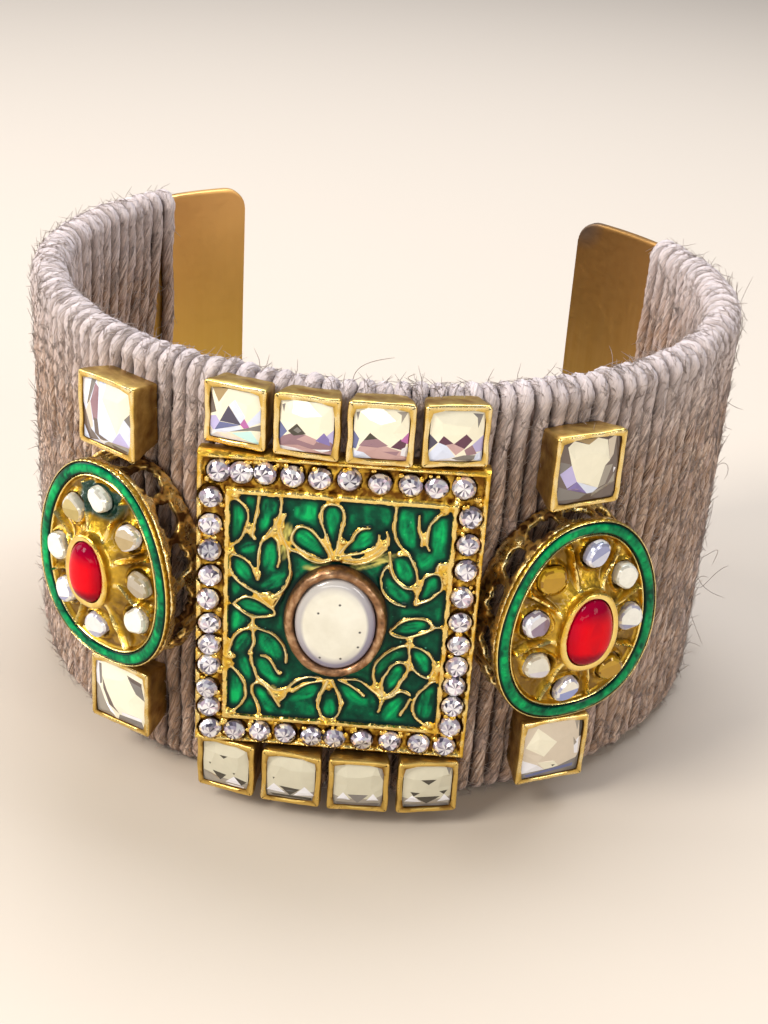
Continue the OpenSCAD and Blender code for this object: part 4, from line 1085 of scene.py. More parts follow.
def milkyMaterial(name):
    material, tree, shader = startMaterial(name, {
        "Roughness": 0.18, "Coat Weight": 1.0, "Coat Roughness": 0.04})
    cloud = objectNoise(tree, 260, 4, 0.6)
    place = addNode(tree, "ShaderNodeSeparateXYZ", {0: objectPlace(tree)})
    flat = addNode(tree, "ShaderNodeCombineXYZ", {"X": place.outputs[0], "Y": place.outputs[2]}).outputs[0]
    cells = addNode(tree, "ShaderNodeTexVoronoi", {"Vector": flat, "Scale": 560.0},
                    voronoi_dimensions="2D")
    chosen = addNode(tree, "ShaderNodeSeparateColor", {0: cells.outputs["Color"]}).outputs[0]
    speck = maths(tree, "MULTIPLY", spread(tree, cells.outputs["Distance"], 0.04, 0.08, 1.0, 0.0),
                  spread(tree, chosen, 0.66, 0.68), clamp=True)
    tint = blend(tree, spread(tree, cloud, 0.3, 0.7), (0.70, 0.66, 0.52), (0.86, 0.83, 0.70))
    # painted shade: grey-violet in the bevel band by the edge
    tint = blend(tree, attribute(tree, "edge"), tint, (0.24, 0.22, 0.30))
    tint = blend(tree, speck, tint, (0.05, 0.045, 0.04))
    tree.links.new(tint, shader.inputs["Base Color"])
    return material


# Rhinestones: a culet cone, a girdle, crown facets and a table that shows the foil's facets; their tints
# are painted reflections and glints
paintedSparkle = [(0.97, 0.97, 1.0), (0.62, 0.58, 0.70), (0.28, 0.25, 0.34), (0.72, 0.56, 0.66),
           (0.97, 0.96, 1.0), (0.10, 0.09, 0.13), (0.3, 0.28, 0.34), (0.86, 0.84, 0.88),
           (0.6, 0.52, 0.62), (0.97, 0.95, 0.93)]


def cutRound(mesh, matrix, radius, height, table, seed, shades, tints):
    count = 16
    levels = [(0.72, 0.0), (0.98, 0.42 * height), (1.0, 0.56 * height), (0.82, 0.84 * height),
              (table, height)]
    rings = [addRing(mesh, count, radius * share, matrix @ Matrix.Translation((0, 0, z))
                     @ Matrix.Rotation(pi / count * (k % 2), 4, "Z"))[1]
             for k, (share, z) in enumerate(levels)]
    faces = bridgeRings(mesh, rings)
    split = bmesh.ops.poke(mesh, faces=faces[-1:])
    faces = faces[:-1] + split["faces"]
    aside = matrix.to_3x3() @ Vector((seed.uniform(-0.2, 0.2), seed.uniform(-0.2, 0.2), 0))
    split["verts"][0].co += aside * radius * 0.5
    bmesh.ops.recalc_face_normals(mesh, faces=faces)
    for face in faces:
        shades[face] = seed.choice(tints)
    for k, face in enumerate(split["faces"]):  # the table shows the facets behind it as a star of painted reflections and glints
        if seed.random() < 0.8:
            shades[face] = tints[(0, 0, 1, 5, 4, 2, 4, 1)[k % 8]]
    return faces


def handTilt(seed, amount):
    return Matrix.Rotation(seed.gauss(0, amount), 4, "X") @ Matrix.Rotation(seed.gauss(0, amount), 4, "Y")


def makeRhinestones(glass):
    seed = random.Random(12)
    mesh = bmesh.new()
    shades = {}
    for x, y in borderPlaces():
        tilt = handTilt(seed, 0.12)
        middle = (x + seed.uniform(-0.05, 0.05), y + seed.uniform(-0.05, 0.05), plaque["seat"] + 0.06)
        place = Matrix.Translation(middle) @ tilt @ Matrix.Rotation(seed.uniform(0, 1), 4, "Z")
        cutRound(mesh, place, plaque["stone"], 1.2, 0.58, seed, shades, paintedSparkle)
    paintCorners(mesh, "tint", lambda face: shades.get(face, (0.8, 0.8, 0.85)))
    finishPiece("border_rhinestones_cut", mesh, [glass], ["border_rhinestones"],
                onPlaque(), 1)


# Square settings: a folded cup of sheet with a soft rim, and a stone cut with a net of small facets
squares = {
    "front": 5.6, "side": 7.0, "wall": 0.5, "depth": 1.24, "pitch": 5.7, "foot": -0.7,
    "corner": 0.34, "softness": 0.18,
    "rows": {"top": (39.7, 3.0), "bottom": (4.6, 3.7)},
    "sides": {"upper_right": (32.8, 35.7, 0, 3.2), "lower_right": (33.3, 6.6, -5.5, 3.2),
              "upper_left": (-31.5, 36.3, 0, 3.2), "lower_left": (-30.4, 7.6, 5, 3.2)},
}


def makeCup(name, node, size, face, place, gilt, seed):
    mesh = bmesh.new()
    half = size / 2
    rubbed = 0.3 if name.startswith("bottom") else 0.48  # the lower row is duller along its rims
    for vertex in bmesh.ops.create_cube(mesh, size=1)["verts"]:
        vertex.co = (vertex.co.x * size, vertex.co.y * size, face if vertex.co.z > 0 else squares["foot"])
    bevelEdges(mesh, [e for e in mesh.edges if abs(e.verts[0].co.z - e.verts[1].co.z) > 1],
               squares["corner"], 4)
    lid = max(mesh.faces, key=lambda f: f.calc_center_median().z)
    bmesh.ops.inset_region(mesh, faces=[lid], thickness=squares["wall"], use_even_offset=True)
    lid = max((f for f in mesh.faces if f.normal.z > 0.9), key=lambda f: f.calc_area())
    inner = bmesh.ops.extrude_face_region(mesh, geom=[lid])
    bmesh.ops.delete(mesh, geom=[lid], context="FACES_ONLY")
    bmesh.ops.translate(mesh, verts=[v for v in inner["geom"] if isinstance(v, bmesh.types.BMVert)],
                        vec=(0, 0, -squares["depth"]))
    rim = [e for e in mesh.edges if e.verts[0].co.z > face - 0.01 and e.verts[1].co.z > face - 0.01
           and len(e.link_faces) == 2 and e.calc_face_angle(0) > radians(60)]
    bevelEdges(mesh, rim, squares["softness"], 4)
    long = [e for e in mesh.edges if e.calc_length() > 1.2]
    bmesh.ops.subdivide_edges(mesh, edges=long, cuts=7, use_grid_fill=True)
    worn = mesh.verts.layers.float.new("worn")
    for vertex in mesh.verts:
        co = vertex.co
        upper = np.clip((co.z - face + 0.3) / 0.3, 0, 1)
        inside = max(abs(co.x), abs(co.y)) < half - squares["wall"] * 0.9
        cloud = noise.noise(co * 0.9 + Vector((seed, 0, 0)))
        bright = 0.24 + rubbed * upper + 0.24 * cloud - (0.4 if inside else 0)
        vertex[worn] = float(np.clip(bright, 0, 1))
        shift = noise.noise_vector(co * 0.55 + Vector((seed * 3.1, 0, 0))) * 0.13
        narrow = 1 - (0 if inside else 0.2 * max(face - 0.5 - co.z, 0) / half)
        lift = shift.z * 0.5 if co.z > 0 else 0
        vertex.co = Vector((co.x * narrow + shift.x, co.y * narrow + shift.y, co.z + lift))
        if co.z < squares["foot"] + 0.1:
            world = place @ vertex.co
            flat = Vector((world.x, world.y - frontCentre, 0))
            away = flat.length - (crestRadius + 0.05)
            vertex.co.z += -away if abs(away) < 3 else 0
    finishPiece(name, mesh, [gilt], [node], place, 40, outward=True)


# What each square stone shows: the tint of its field, then facets drawn over it; the tints hold the
# stone's colour with painted reflections and glints. Each facet is a tint and the places x, y of its
# corners, in hundredths of half the stone's width
stoneAndReflectionTints = {
    "cream": (0.95, 0.90, 0.70), "pale": (0.65, 0.61, 0.46), "shell": (0.74, 0.64, 0.50),
    "white": (0.93, 0.92, 0.95),
    "ice": (0.76, 0.82, 0.98), "lilac": (0.55, 0.50, 0.80), "violet": (0.24, 0.19, 0.45),
    "blue": (0.16, 0.18, 0.36),
    "mauve": (0.34, 0.20, 0.23), "rose": (0.60, 0.38, 0.36), "plum": (0.13, 0.045, 0.08),
    "slate": (0.085, 0.075, 0.12),
    "grey": (0.24, 0.22, 0.20), "ash": (0.38, 0.34, 0.28), "dark": (0.07, 0.06, 0.045),
    "tan": (0.52, 0.37, 0.18),
    "magenta": (0.55, 0.17, 0.45), "aqua": (0.62, 0.92, 0.88), "brown": (0.17, 0.13, 0.11),
}
cuts = {
    "top_1": ("cream", [
        ("tan", -95, 100, -30, 100, -62, 45), ("brown", -100, 90, -72, 5, -100, -10),
        ("ice", -20, 42, 2, 66, 45, 5, 25, -28), ("ice", 50, -20, 100, 42, 100, -10, 60, -32),
        ("slate", -22, 40, -58, -30, 28, -30),
        ("lilac", -100, -20, -75, -10, -55, -35, -85, -75, -100, -60),
        ("blue", -58, -32, 26, -30, -80, -70), ("ice", -86, -72, 20, -34, 30, -46, -50, -80),
        ("magenta", 40, -2, 60, -35, 38, -42, 24, -28), ("grey", -20, -66, 100, -20, 100, -46, 66, -46),
        ("aqua", -12, -70, 66, -48, 100, -100, 50, -93),
        ("white", -100, -78, -15, -72, 50, -100, -100, -100)]),
    "top_2": ("cream", [
        ("grey", -93, 80, -80, 86, -85, 50),
        ("mauve", -100, -50, -50, -25, 0, -28, 45, -50, 100, -45, 100, -84, -100, -84),
        ("blue", -100, 12, -70, -22, -100, -60), ("lilac", 100, 0, 70, -30, 100, -55),
        ("dark", -35, 14, -68, -20, -45, -36, 0, -25), ("grey", -33, 0, -48, -14, -30, -24, -16, -13),
        ("rose", 0, -28, -35, -50, 30, -66, 45, -42), ("violet", 66, -12, 36, -46, 90, -62, 85, -35),
        ("rose", -100, -84, -30, -72, 30, -86, 100, -84, 100, -100, -100, -100),
        ("white", -100, -84, -40, -88, 0, -100, -100, -100), ("white", 30, -86, 95, -78, 60, -96)]),
    "top_3": ("cream", [
        ("grey", -93, 82, -80, 86, -87, 50), ("ash", 50, 93, 92, 93, 70, 50, 70, 82),
        ("rose", -75, -50, -5, -30, 35, -48, 100, -70, 100, -100, -100, -100),
        ("blue", -100, 10, -78, -20, -88, -62, -100, -60),
        ("mauve", -40, 6, -78, -48, -10, -50, 28, -40, -10, -15), ("dark", -40, 8, -62, -25, -12, -14),
        ("plum", 72, -12, 38, -46, 88, -60, 95, -20), ("magenta", 100, 14, 72, -18, 100, -34),
        ("white", 78, -52, 100, -42, 100, -85, 75, -78),
        ("ice", -95, -68, -60, -74, -30, -100, -100, -100), ("mauve", 10, -66, 70, -62, 60, -80)]),
    "top_4": ("cream", [
        ("grey", 52, 93, 92, 90, 75, 35, 70, 76), ("slate", -100, 10, -70, -20, -100, -55),
        ("ice", -66, -18, -100, -70, -90, -100, 0, -80, -35, -35),
        ("plum", -50, 6, -68, -20, -40, -32, -12, -25), ("rose", -40, -30, -12, -25, 30, -45, 0, -72),
        ("plum", 33, 14, -10, -27, 30, -45, 58, -12), ("lilac", 100, 6, 58, -30, 70, -62, 100, -60),
        ("mauve", 58, -30, 30, -50, 40, -74, 80, -70), ("grey", -30, -93, 30, -72, 90, -74, 60, -100),
        ("white", -90, -100, -20, -85, 20, -100), ("ice", 75, -70, 100, -58, 100, -100, 70, -95)]),
    "bottom_1": ("pale", [
        ("dark", -25, 50, 12, 50, -5, 36), ("dark", -72, 0, -62, 2, -66, -10),
        ("dark", 36, -22, 48, -22, 42, -32),
        ("ash", -100, -50, 0, -62, 100, -70, 100, -100, -100, -100),
        ("dark", -55, -35, 8, -42, -20, -76), ("white", 42, -40, 2, -80, 72, -82),
        ("dark", 42, -40, 95, -62, 72, -82), ("white", 0, -88, 85, -88, 80, -98, 20, -96)]),
    "bottom_2": ("pale", [
        ("ash", -100, -62, 100, -50, 100, -100, -100, -100), ("white", -68, -30, -100, -72, -20, -72),
        ("dark", -46, -38, 42, -42, 0, -80), ("white", 60, -26, 14, -78, 100, -70),
        ("dark", -85, -82, 90, -80, 90, -94, -70, -94), ("dark", -74, 0, -64, 0, -70, -10)]),
    "bottom_3": ("pale", [
        ("ash", -100, -50, -60, -60, 60, -60, 100, -40, 100, -100, -100, -100),
        ("white", -60, -30, -85, -68, -30, -68), ("grey", -42, -38, 42, -38, 0, -84),
        ("white", 62, -30, 36, -68, 85, -66), ("grey", -90, -84, 90, -80, 80, -100, -80, -100),
        ("ash", 70, 100, 100, 100, 100, 30, 85, 60)]),
    "bottom_4": ("pale", [
        ("dark", -30, 40, 35, 40, 3, 16), ("ash", -100, -50, 0, -62, 100, -50, 100, -100, -100, -100),
        ("white", -62, -36, -90, -72, -20, -74), ("dark", -50, -44, 55, -44, 2, -86),
        ("white", 72, -36, 45, -74, 100, -72), ("dark", -70, -20, -30, -22, -55, -40),
        ("dark", 50, -20, 85, -18, 70, -36), ("grey", -90, -86, 90, -84, 90, -100, -90, -100),
        ("grey", 70, 100, 95, 95, 85, 60)]),
    "upper_right": ("brown", [
        ("grey", -100, 40, -66, 30, -95, -10), ("tan", -50, 100, 20, 100, -12, 84),
        ("cream", -82, 85, -60, 100, -12, 84, 20, 100, 53, 90, 65, 25, 50, 10, 36, -60, -42, -27, -64, 27),
        ("lilac", -96, 0, -64, 27, -42, -27, -70, -46), ("violet", -42, -27, -70, -50, 2, -74),
        ("ice", -42, -27, 36, -60, 22, -74, 2, -74), ("shell", 55, 90, 86, 100, 78, 42, 65, 25),
        ("ash", 50, 10, 80, 10, 60, -50, 36, -60), ("ash", 20, -74, 70, -50, 90, -20, 95, -50, 20, -90),
        ("white", 84, 0, 93, -5, 86, -20), ("grey", -95, -40, -70, -50, 0, -76, -20, -90, -100, -85)]),
    "lower_right": ("shell", [
        ("white", -100, -30, -50, -50, -20, -75, -100, -80),
        ("cream", -50, -40, 10, -45, 30, -70, -20, -75), ("cream", -60, 90, 10, 30, -30, -20, -95, 20),
        ("dark", 0, -58, 14, -58, 7, -66),
        ("grey", -100, -80, 10, -70, 90, -50, 100, -30, 100, -100, -100, -100),
        ("blue", -90, -86, 80, -68, 80, -80, -80, -96), ("dark", 86, 100, 100, 100, 100, 30, 92, 30),
        ("white", 74, 10, 92, 30, 95, -35, 80, -30), ("ash", 70, 35, 86, 10, 76, 0),
        ("ash", 70, 95, 86, 95, 80, 60)]),
    "upper_left": ("ice", [
        ("cream", 0, 100, 100, 100, 100, 35, 78, 10, 50, -50, -10, 50),
        ("white", -100, 100, -60, 92, -80, 10, -100, 10),
        ("grey", -60, 100, -42, 100, -62, 30, -80, 10),
        ("shell", -60, 35, -50, -50, -62, -60, -88, -10),
        ("mauve", -45, 90, -28, 80, -30, -20, -50, -30, -58, 30),
        ("cream", -42, 100, -28, 100, -30, 80),
        ("brown", -48, -20, -30, -20, -25, -68, 10, -80, -20, -88, -44, -70),
        ("brown", -100, 10, -88, -10, -62, -60, -30, -90, -75, -100, -100, -60),
        ("grey", 100, 35, 78, 10, 100, -12), ("lilac", 62, -35, 20, -86, 100, -80),
        ("ash", 10, -82, 100, -78, 100, -100, -20, -100),
        ("white", -30, -84, -10, -86, -10, -100, -22, -100),
        ("brown", 20, -88, 90, -90, 80, -100, 30, -100)]),
    "lower_left": ("cream", [
        ("white", -100, 100, -75, 90, -80, 0, -100, 10), ("grey", -85, 90, -75, 90, -70, 20, -82, 10),
        ("brown", -68, 45, -50, 0, -20, -50, 0, -74, -40, -50, -66, 0),
        ("ash", -100, 10, -82, 0, -60, -40, -20, -100, -100, -100),
        ("white", -80, -20, -60, -40, -15, -95, -40, -80), ("grey", 35, 80, 90, 62, 100, 10, 70, 30),
        ("brown", 30, 86, 90, 75, 90, 60, 50, 70), ("grey", 0, -76, 90, -72, 100, -100, -10, -100),
        ("white", 10, -62, 90, -60, 90, -72, 10, -74)]),
}


def makeSquareStone(name, node, size, face, place, glass, seedValue, drawing):
    seed = random.Random(seedValue)
    half = size / 2 - squares["wall"] - 0.04
    field, facets = cuts[drawing]
    flat = [Vector((x, y)) for x in stops(-1, 4, 1) for y in stops(-1, 4, 1)]
    flat = [p + Vector((seed.uniform(-0.1, 0.1), seed.uniform(-0.1, 0.1)))
            * (max(abs(p.x), abs(p.y)) < 0.9) for p in flat]
    loops = [[0, 20, 24, 4]]
    for _, *places in facets:
        corners = [(x / 100, y / 100) for x, y in zip(places[::2], places[1::2])]
        area = sum(a[0] * b[1] - b[0] * a[1] for a, b in zip(corners, corners[1:] + corners[:1]))
        loops.append(list(range(len(flat), len(flat) + len(corners))))
        flat += [Vector(corner) for corner in (corners if area > 0 else corners[::-1])]
    points, _, triangles, _, _, owners = geometry.delaunay_2d_cdt(flat, [], loops, 1, 0.004)

    def dome(p):
        uneven = noise.noise((p.x * 1.7, p.y * 1.7, seedValue))
        return 0.1 - 0.3 * max(abs(p.x), abs(p.y)) ** 3 + 0.1 * uneven

    mesh = bmesh.new()
    verts = [mesh.verts.new((p.x * half, p.y * half, face + dome(p))) for p in points]
    shades = {}
    for triangle, owner in zip(triangles, owners):
        facet = mesh.faces.new([verts[k] for k in triangle])
        drawn = max(owner, default=0)
        # each drawn facet a step lighter or darker: painted facet shading
        light = 1 - 0.06 * (drawn * 7 % 5) / 4 if drawn else 1.0
        shades[facet] = tuple(light * v for v in stoneAndReflectionTints[facets[drawn - 1][0] if drawn else field])
    for vertex in extrudeRim(mesh, boundary(mesh))[0]:
        vertex.co.z = face - squares["depth"] + 0.06
    bmesh.ops.holes_fill(mesh, edges=boundary(mesh))
    bmesh.ops.recalc_face_normals(mesh, faces=mesh.faces)
    paintCorners(mesh, "tint", lambda f: shades.get(f, (0.3, 0.26, 0.2)))
    finishPiece(name, mesh, [glass], [node], place, 1)


def makeSquares(gilt, glass):
    settings = []  # the pattern of the names, the drawing, the size, the height of the face and the place
    for row, (z, face) in squares["rows"].items():
        for i in range(4):
            place = onCuff(angleOver(plaque["x"] + (i - 1.5) * squares["pitch"]), z)
            settings.append((f"{row}_%s_{i + 1}", f"{row}_{i + 1}", squares["front"], face, place))
    for side, (angle, z, turn, face) in squares["sides"].items():
        settings.append((f"%s_{side}", side, squares["side"], face, onCuff(angle, z, turn)))
    for k, (pattern, drawing, size, face, place) in enumerate(settings, start=1):
        makeCup(pattern % "cup", pattern % "bezel", size, face, place, gilt, k)
        makeSquareStone(pattern % "cut", pattern % "stone", size, face, place, glass, k + 40, drawing)
    print("square settings ready")


# Medallions: a pierced side wall, a face with an enamel ring, ribbed pockets for eight stones, a collar
medallion = {
    "half": (8.15, 10.05), "rise": 4.4, "ring": (0.15, 1.3), "dish": 1.7, "low": 4.0, "high": 5.4,
    "collarTop": 6.4, "wall": 0.6, "count": 240, "polki": 1.3, "seat": 4.21,
    "fullness": 0.85, "taper": 0.1,  # of the egg shape
    "sides": {
        "right": {"angle": 33.2, "z": 21.3, "turn": -1.5, "collar": (2.9, 3.95), "patch": (0, 0, -9),
                  "stones": [(0.5, 7), (3.9, 4.3), (5, -0.2), (3.6, -5.2), (-0.8, -6.6), (-4, -3.5),
                             (-4.8, 0.8), (-3.6, 5.1)],
                  "kinds": ["clear", "cream", "creamLow", "amber", "halved", "cloudy", "silver",
                            "amber"]},
        "left": {"angle": -31, "z": 22.1, "turn": 0.5, "collar": (2.6, 3.6), "patch": (0.3, 7.3, 2.6),
                 "stones": [(0.5, 6.9), (3.9, 4.2), (5.2, 0.1), (4.7, -3.9), (-0.4, -6.3), (-4.2, -4.2),
                            (-5.1, 0.2), (-2.9, 4.9)],
                 "kinds": ["cream", "clearAmber", "grey", "cream", "leaf", "creamLow", "cream",
                           "amberRim"]},
    },
}


def eggAt(inset, turn, half=medallion["half"]):
    c, s = cos(turn), sin(turn)
    w = (1 if c >= 0 else -1) * abs(c) ** medallion["fullness"] * (1 - medallion["taper"] * s)
    return Vector(((half[0] - inset) * w, (half[1] - inset) * s, 0))


def collarAt(side, inset, turn):
    half = medallion["sides"][side]["collar"]
    return eggAt(0, turn, (half[0] - inset, half[1] - inset))


def ribAt(r, a, middles):  # the rib between two pockets, and its shadow
    rib = shade = 0.0
    for k, middle in enumerate(middles):
        off = (a - middle + pi) % tau - pi
        if abs(off) < 1.2:
            across = abs(r * sin(off) + 0.35 * noise.noise((r * 0.5, k * 3.0, 2.0)))
            rib = max(rib, np.exp(-(across / 0.21) ** 2))
            shade = max(shade, np.exp(-(across / 0.8) ** 2))
    return rib, shade


def faceRings(side):
    stones = medallion["sides"][side]["stones"]
    count, rise = medallion["count"], medallion["rise"]
    turns = [tau * k / count for k in range(count)]
    low, high, dish = medallion["low"], medallion["high"], medallion["dish"]
    rim = [(0.02, rise - 0.5), (-0.02, rise - 0.2), (0.0, rise - 0.05), (0.05, rise + 0.04),
           (0.1, rise + 0.05), (0.14, rise), (0.17, rise - 0.1), (0.19, rise - 0.5), (1.26, rise - 0.5),
           (1.28, rise - 0.12), (1.32, rise), (1.4, rise + 0.06), (1.48, rise + 0.02),
           (1.53, rise - 0.12), (dish, low + 0.1)]
    rings = [[eggAt(inset + 0.045 * cos(80 * t) * (inset < 0.04), t) + Vector((0, 0, z)) for t in turns]
             for inset, z in rim]  # the outer edge is beaded
    middles = [atan2(a[1] + b[1], a[0] + b[0]) for a, b in zip(stones, stones[1:] + stones[:1])]
    marks = [[0.95 if z > rise - 0.05 else 0.3] * count for _, z in rim]
    steps = 34
    for step in range(1, steps + 1):
        share = step / steps
        ring, mark = [], []
        for t in turns:
            point = eggAt(dish, t).lerp(collarAt(side, -0.05, t), share)
            z = low + 0.12 + (high - low - 0.12) * share ** 3
            wave = 0.1 * noise.noise((point.x * 0.9, point.y * 0.9, 11.0)) + 0.05 * noise.noise(
                (point.x * 2.7, point.y * 2.7, 17.0))
            rib, shade = ribAt(hypot(point.x, point.y), atan2(point.y, point.x), middles)
            z += rib * max(5.0 + 0.35 * share - z, 0)
            bowl = min(hypot(point.x - x, point.y - y) for x, y in stones)
            lip = np.exp(-((bowl - 1.5) / 0.16) ** 2)
            if bowl < 1.34:
                z = medallion["seat"] + 0.05
            ring.append(Vector((point.x, point.y, z + wave + 0.45 * lip * (bowl > 1.34))))
            mark.append(0.16 + rib * 0.95 - 0.2 * shade + wave * 2.4 + 0.3 * lip - 0.2 * (bowl < 1.4)
                        + 0.3 * share ** 4)
        rings.append(ring)
        marks.append(mark)
    top, wall = medallion["collarTop"], medallion["wall"]
    lip = [(0.02, high + 0.3), (0.06, high + 0.7), (-0.02, top - 0.12), (0.06, top), (0.2, top + 0.05),
           (wall - 0.06, top - 0.02), (wall, top - 0.15), (wall + 0.02, top - 1.1)]
    rings += [[collarAt(side, inset, t) + Vector((0, 0, z)) for t in turns] for inset, z in lip]
    marks += [[0.35 + 0.1 * k] * count for k in range(len(lip) - 2)] + [[0.4] * count, [0.1] * count]
    return rings, marks


def makeMedallionFace(side, gilt, place):
    rings, marks = faceRings(side)
    halfX, halfY = medallion["half"]
    px, py, reach = medallion["sides"][side]["patch"]
    green = [[ramp(-hypot((p.x - px) * 0.8, p.y - py), -reach, -reach + 0.4) * (15 < j < len(rings) - 8)
              for p in ring] for j, ring in enumerate(rings)]
    mesh = joinRings(rings, {"worn": np.clip(marks, 0, 1), "green": green})
    worn = mesh.verts.layers.float["worn"]
    bmesh.ops.holes_fill(mesh, edges=[e for e in boundary(mesh) if e.verts[0].co.z > 5])
    # Underside, so that the shell of the face is closed
    rim = boundary(mesh)
    for inset, z in ((0.6, medallion["rise"] - 0.6), (2.2, medallion["low"] - 0.5)):
        lower, rim = extrudeRim(mesh, rim)
        for vertex in lower:
            vertex.co = Vector((vertex.co.x * (1 - inset / halfX), vertex.co.y * (1 - inset / halfY), z))
            vertex[worn] = 0.1
    bmesh.ops.holes_fill(mesh, edges=rim)
    finishPiece(f"medallion_face_{side}", mesh, [gilt], [f"medallion_body_{side}"], place, 50,
                outward=True)


def inWindow(x, y, z):  # arched windows, each a little off in height and width
    windows = 14
    halfX, halfY = medallion["half"]
    turn = atan2(y / halfY, x / halfX) % tau
    phase = (turn / tau * windows) % 1.0 - 0.5
    cell = int(turn / tau * windows)
    tall = 3.0 + 0.4 * noise.noise((cell * 1.7, 0, 3.0)) + 0.35 * noise.noise((turn * 16, 5.0, 3.0))
    foot = 1.15 + 0.4 * noise.noise((cell * 2.3, 4.0, 3.0)) + 0.4 * noise.noise((turn * 18, 9.0, 3.0))
    width = 0.39 + 0.06 * noise.noise((cell * 3.1, 8.0, 3.0))
    middle, half = (tall + foot) / 2, (tall - foot) / 2
    return abs(phase / width) ** 2.6 + abs((z - middle) / half) ** 2.6 < 1


def makeMedallionWall(side, gilt, place):
    rise = medallion["rise"]
    count, levels = 224, 16
    mesh, rows = gridOf(stops(0, count, 1), stops(0, levels, 1))
    for i in range(count + 1):
        turn = tau * (i % count) / count
        outline = eggAt(0.0, turn)
        lowest = sqrt(crestRadius ** 2 - outline.x ** 2) - crestRadius + 0.05
        for j in range(levels + 1):
            share = j / levels
            z = lowest + (rise - 0.4 - lowest) * share
            belly = (0.16 * sin(share * pi * 2.5 + 0.6) + 0.2 * noise.noise((turn * 4.0, share * 3.0, 4.0))
                     + 0.22 * noise.noise((turn * 13.0, share * 6.0, 14.0)) * (1 - share ** 4)
                     + 0.13 * noise.noise((turn * 22.0, share * 11.0, 24.0)) * (1 - share ** 4))
            out = eggAt(0.22 - belly, turn)
            rows[i][j].co = (out.x, out.y, z)
    gone = [face for face in mesh.faces if inWindow(*face.calc_center_median())]
    bmesh.ops.delete(mesh, geom=gone, context="FACES")
    bmesh.ops.remove_doubles(mesh, verts=mesh.verts, dist=0.0005)
    bmesh.ops.recalc_face_normals(mesh, faces=mesh.faces)
    for _ in range(3):
        edge = dict.fromkeys(v for e in boundary(mesh) for v in e.verts if 0.3 < v.co.z < rise - 0.6)
        bmesh.ops.smooth_vert(mesh, verts=list(edge), factor=0.5, use_axis_x=True, use_axis_y=True,
                              use_axis_z=True)
    worn = mesh.verts.layers.float.new("worn")
    # painted highlights: noise patches of bright gold over dark gilding on the crumpled wall, brighter
    # along the top
    for vertex in mesh.verts:
        hump = noise.noise(vertex.co * 0.7) + 0.8 * noise.noise(vertex.co * 2.1)
        vertex[worn] = float(np.clip(0.56 + 1.05 * hump + 0.2 * (vertex.co.z > rise - 0.9), 0, 1))
    piece = finishPiece(f"medallion_wall_{side}", mesh, [gilt], (), place, None)
    solid = piece.modifiers.new("wall", "SOLIDIFY")
    solid.thickness, solid.offset = 0.0006, -1.0
    fine = piece.modifiers.new("soft", "SUBSURF")
    fine.levels = fine.render_levels = 1


def makeMedallionEnamel(side, enamel, place):
    first, last = medallion["ring"]
    turns = [tau * k / medallion["count"] for k in range(medallion["count"])]
    steps = [(0.0, -0.45), (0.0, -0.03), (0.06, 0.06), (0.22, 0.14), (0.5, 0.2), (0.78, 0.14),
             (0.94, 0.06), (1.0, -0.03), (1.0, -0.45), (0.0, -0.45)]

    def spot(share, lift, t):  # its place, glow with a painted highlight along the crest that is stronger on the lit side, distance from the rims, which sets painted shade at both rims, and streak
        inset = first + 0.03 + (last - first - 0.06) * share
        crest = np.exp(-((share - 0.5) / 0.2) ** 2)
        c, s = cos(t), sin(t)
        z = medallion["rise"] + lift + 0.03 * noise.noise((c * 6, s * 6, share * 2))
        paintedLitSide = ramp(-c, 0.1, 0.9) if side == "right" else ramp(s, 0.3, 0.95)
        glow = 0.62 + crest * (1.1 + paintedLitSide) * max(0.2 + noise.noise((c * 15, s * 15, 5.0)), 0)
        return (eggAt(inset, t) + Vector((0, 0, z)), glow, min(share, 1 - share) * 3.4,
                0.6 + 0.9 * noise.noise((c * 24, s * 24, share * 3)))

    table = [[spot(share, lift, t) for t in turns] for share, lift in steps]
    rings, *marks = ([[values[k] for values in row] for row in table] for k in range(4))
    layers = {name: np.clip(mark, 0, 2) for name, mark in zip(("glow", "away", "streak"), marks)}
    finishPiece(f"medallion_ring_{side}", joinRings(rings, layers), [enamel],
                [f"medallion_enamel_{side}"], place, 60, outward=True)


def makeRedStone(side, glass, place):
    count = 32
    top, wall = medallion["collarTop"], medallion["wall"] + 0.05
    profile = [(0.1, -1.1), (0.02, -0.7), (0.0, 0.0), (0.16, 0.28), (0.45, 0.55), (0.8, 0.73), (1.2, 0.85),
               (1.6, 0.91)]
    mesh = bmesh.new()
    rings = []
    for k, (inset, lift) in enumerate(profile):
        verts, edges = addRing(mesh, count)
        for i, vertex in enumerate(verts):
            turn = tau * (i + 0.5 * (k % 2)) / count
            vertex.co = collarAt(side, wall + inset, turn) + Vector((0, 0, top + lift))
        rings.append(edges)
    bridgeRings(mesh, rings)
    bmesh.ops.recalc_face_normals(mesh, faces=mesh.faces)
    tint = mesh.verts.layers.float_color.new("tint")
    reach = medallion["sides"][side]["collar"]
    for vertex in mesh.verts:  # painted glow across the middle, dark magenta above, a dark crimson band below and darker sides
        x, y = vertex.co.x / reach[0], vertex.co.y / reach[1]
        paintedGlow = float((1 - ramp(y, 0.2, 0.72)) * ramp(y, -0.55, -0.36)
                        * (1 - 0.75 * ramp(abs(x), 0.35, 0.85)))
        base = (0.25, 0.0, 0.02) if y > 0 else (0.26, 0.0, 0.012)
        vertex[tint] = (*(a + (b - a) * paintedGlow for a, b in zip(base, (0.76, 0.0, 0.008))), 1)
    crown = [e for e in mesh.edges if all(top - 0.2 < v.co.z < top + 0.8 for v in e.verts)]
    bevelEdges(mesh, crown, 0.09, 2)
    finishPiece(f"red_stone_cut_{side}", mesh, [glass], [f"red_stone_{side}"], place, 50)
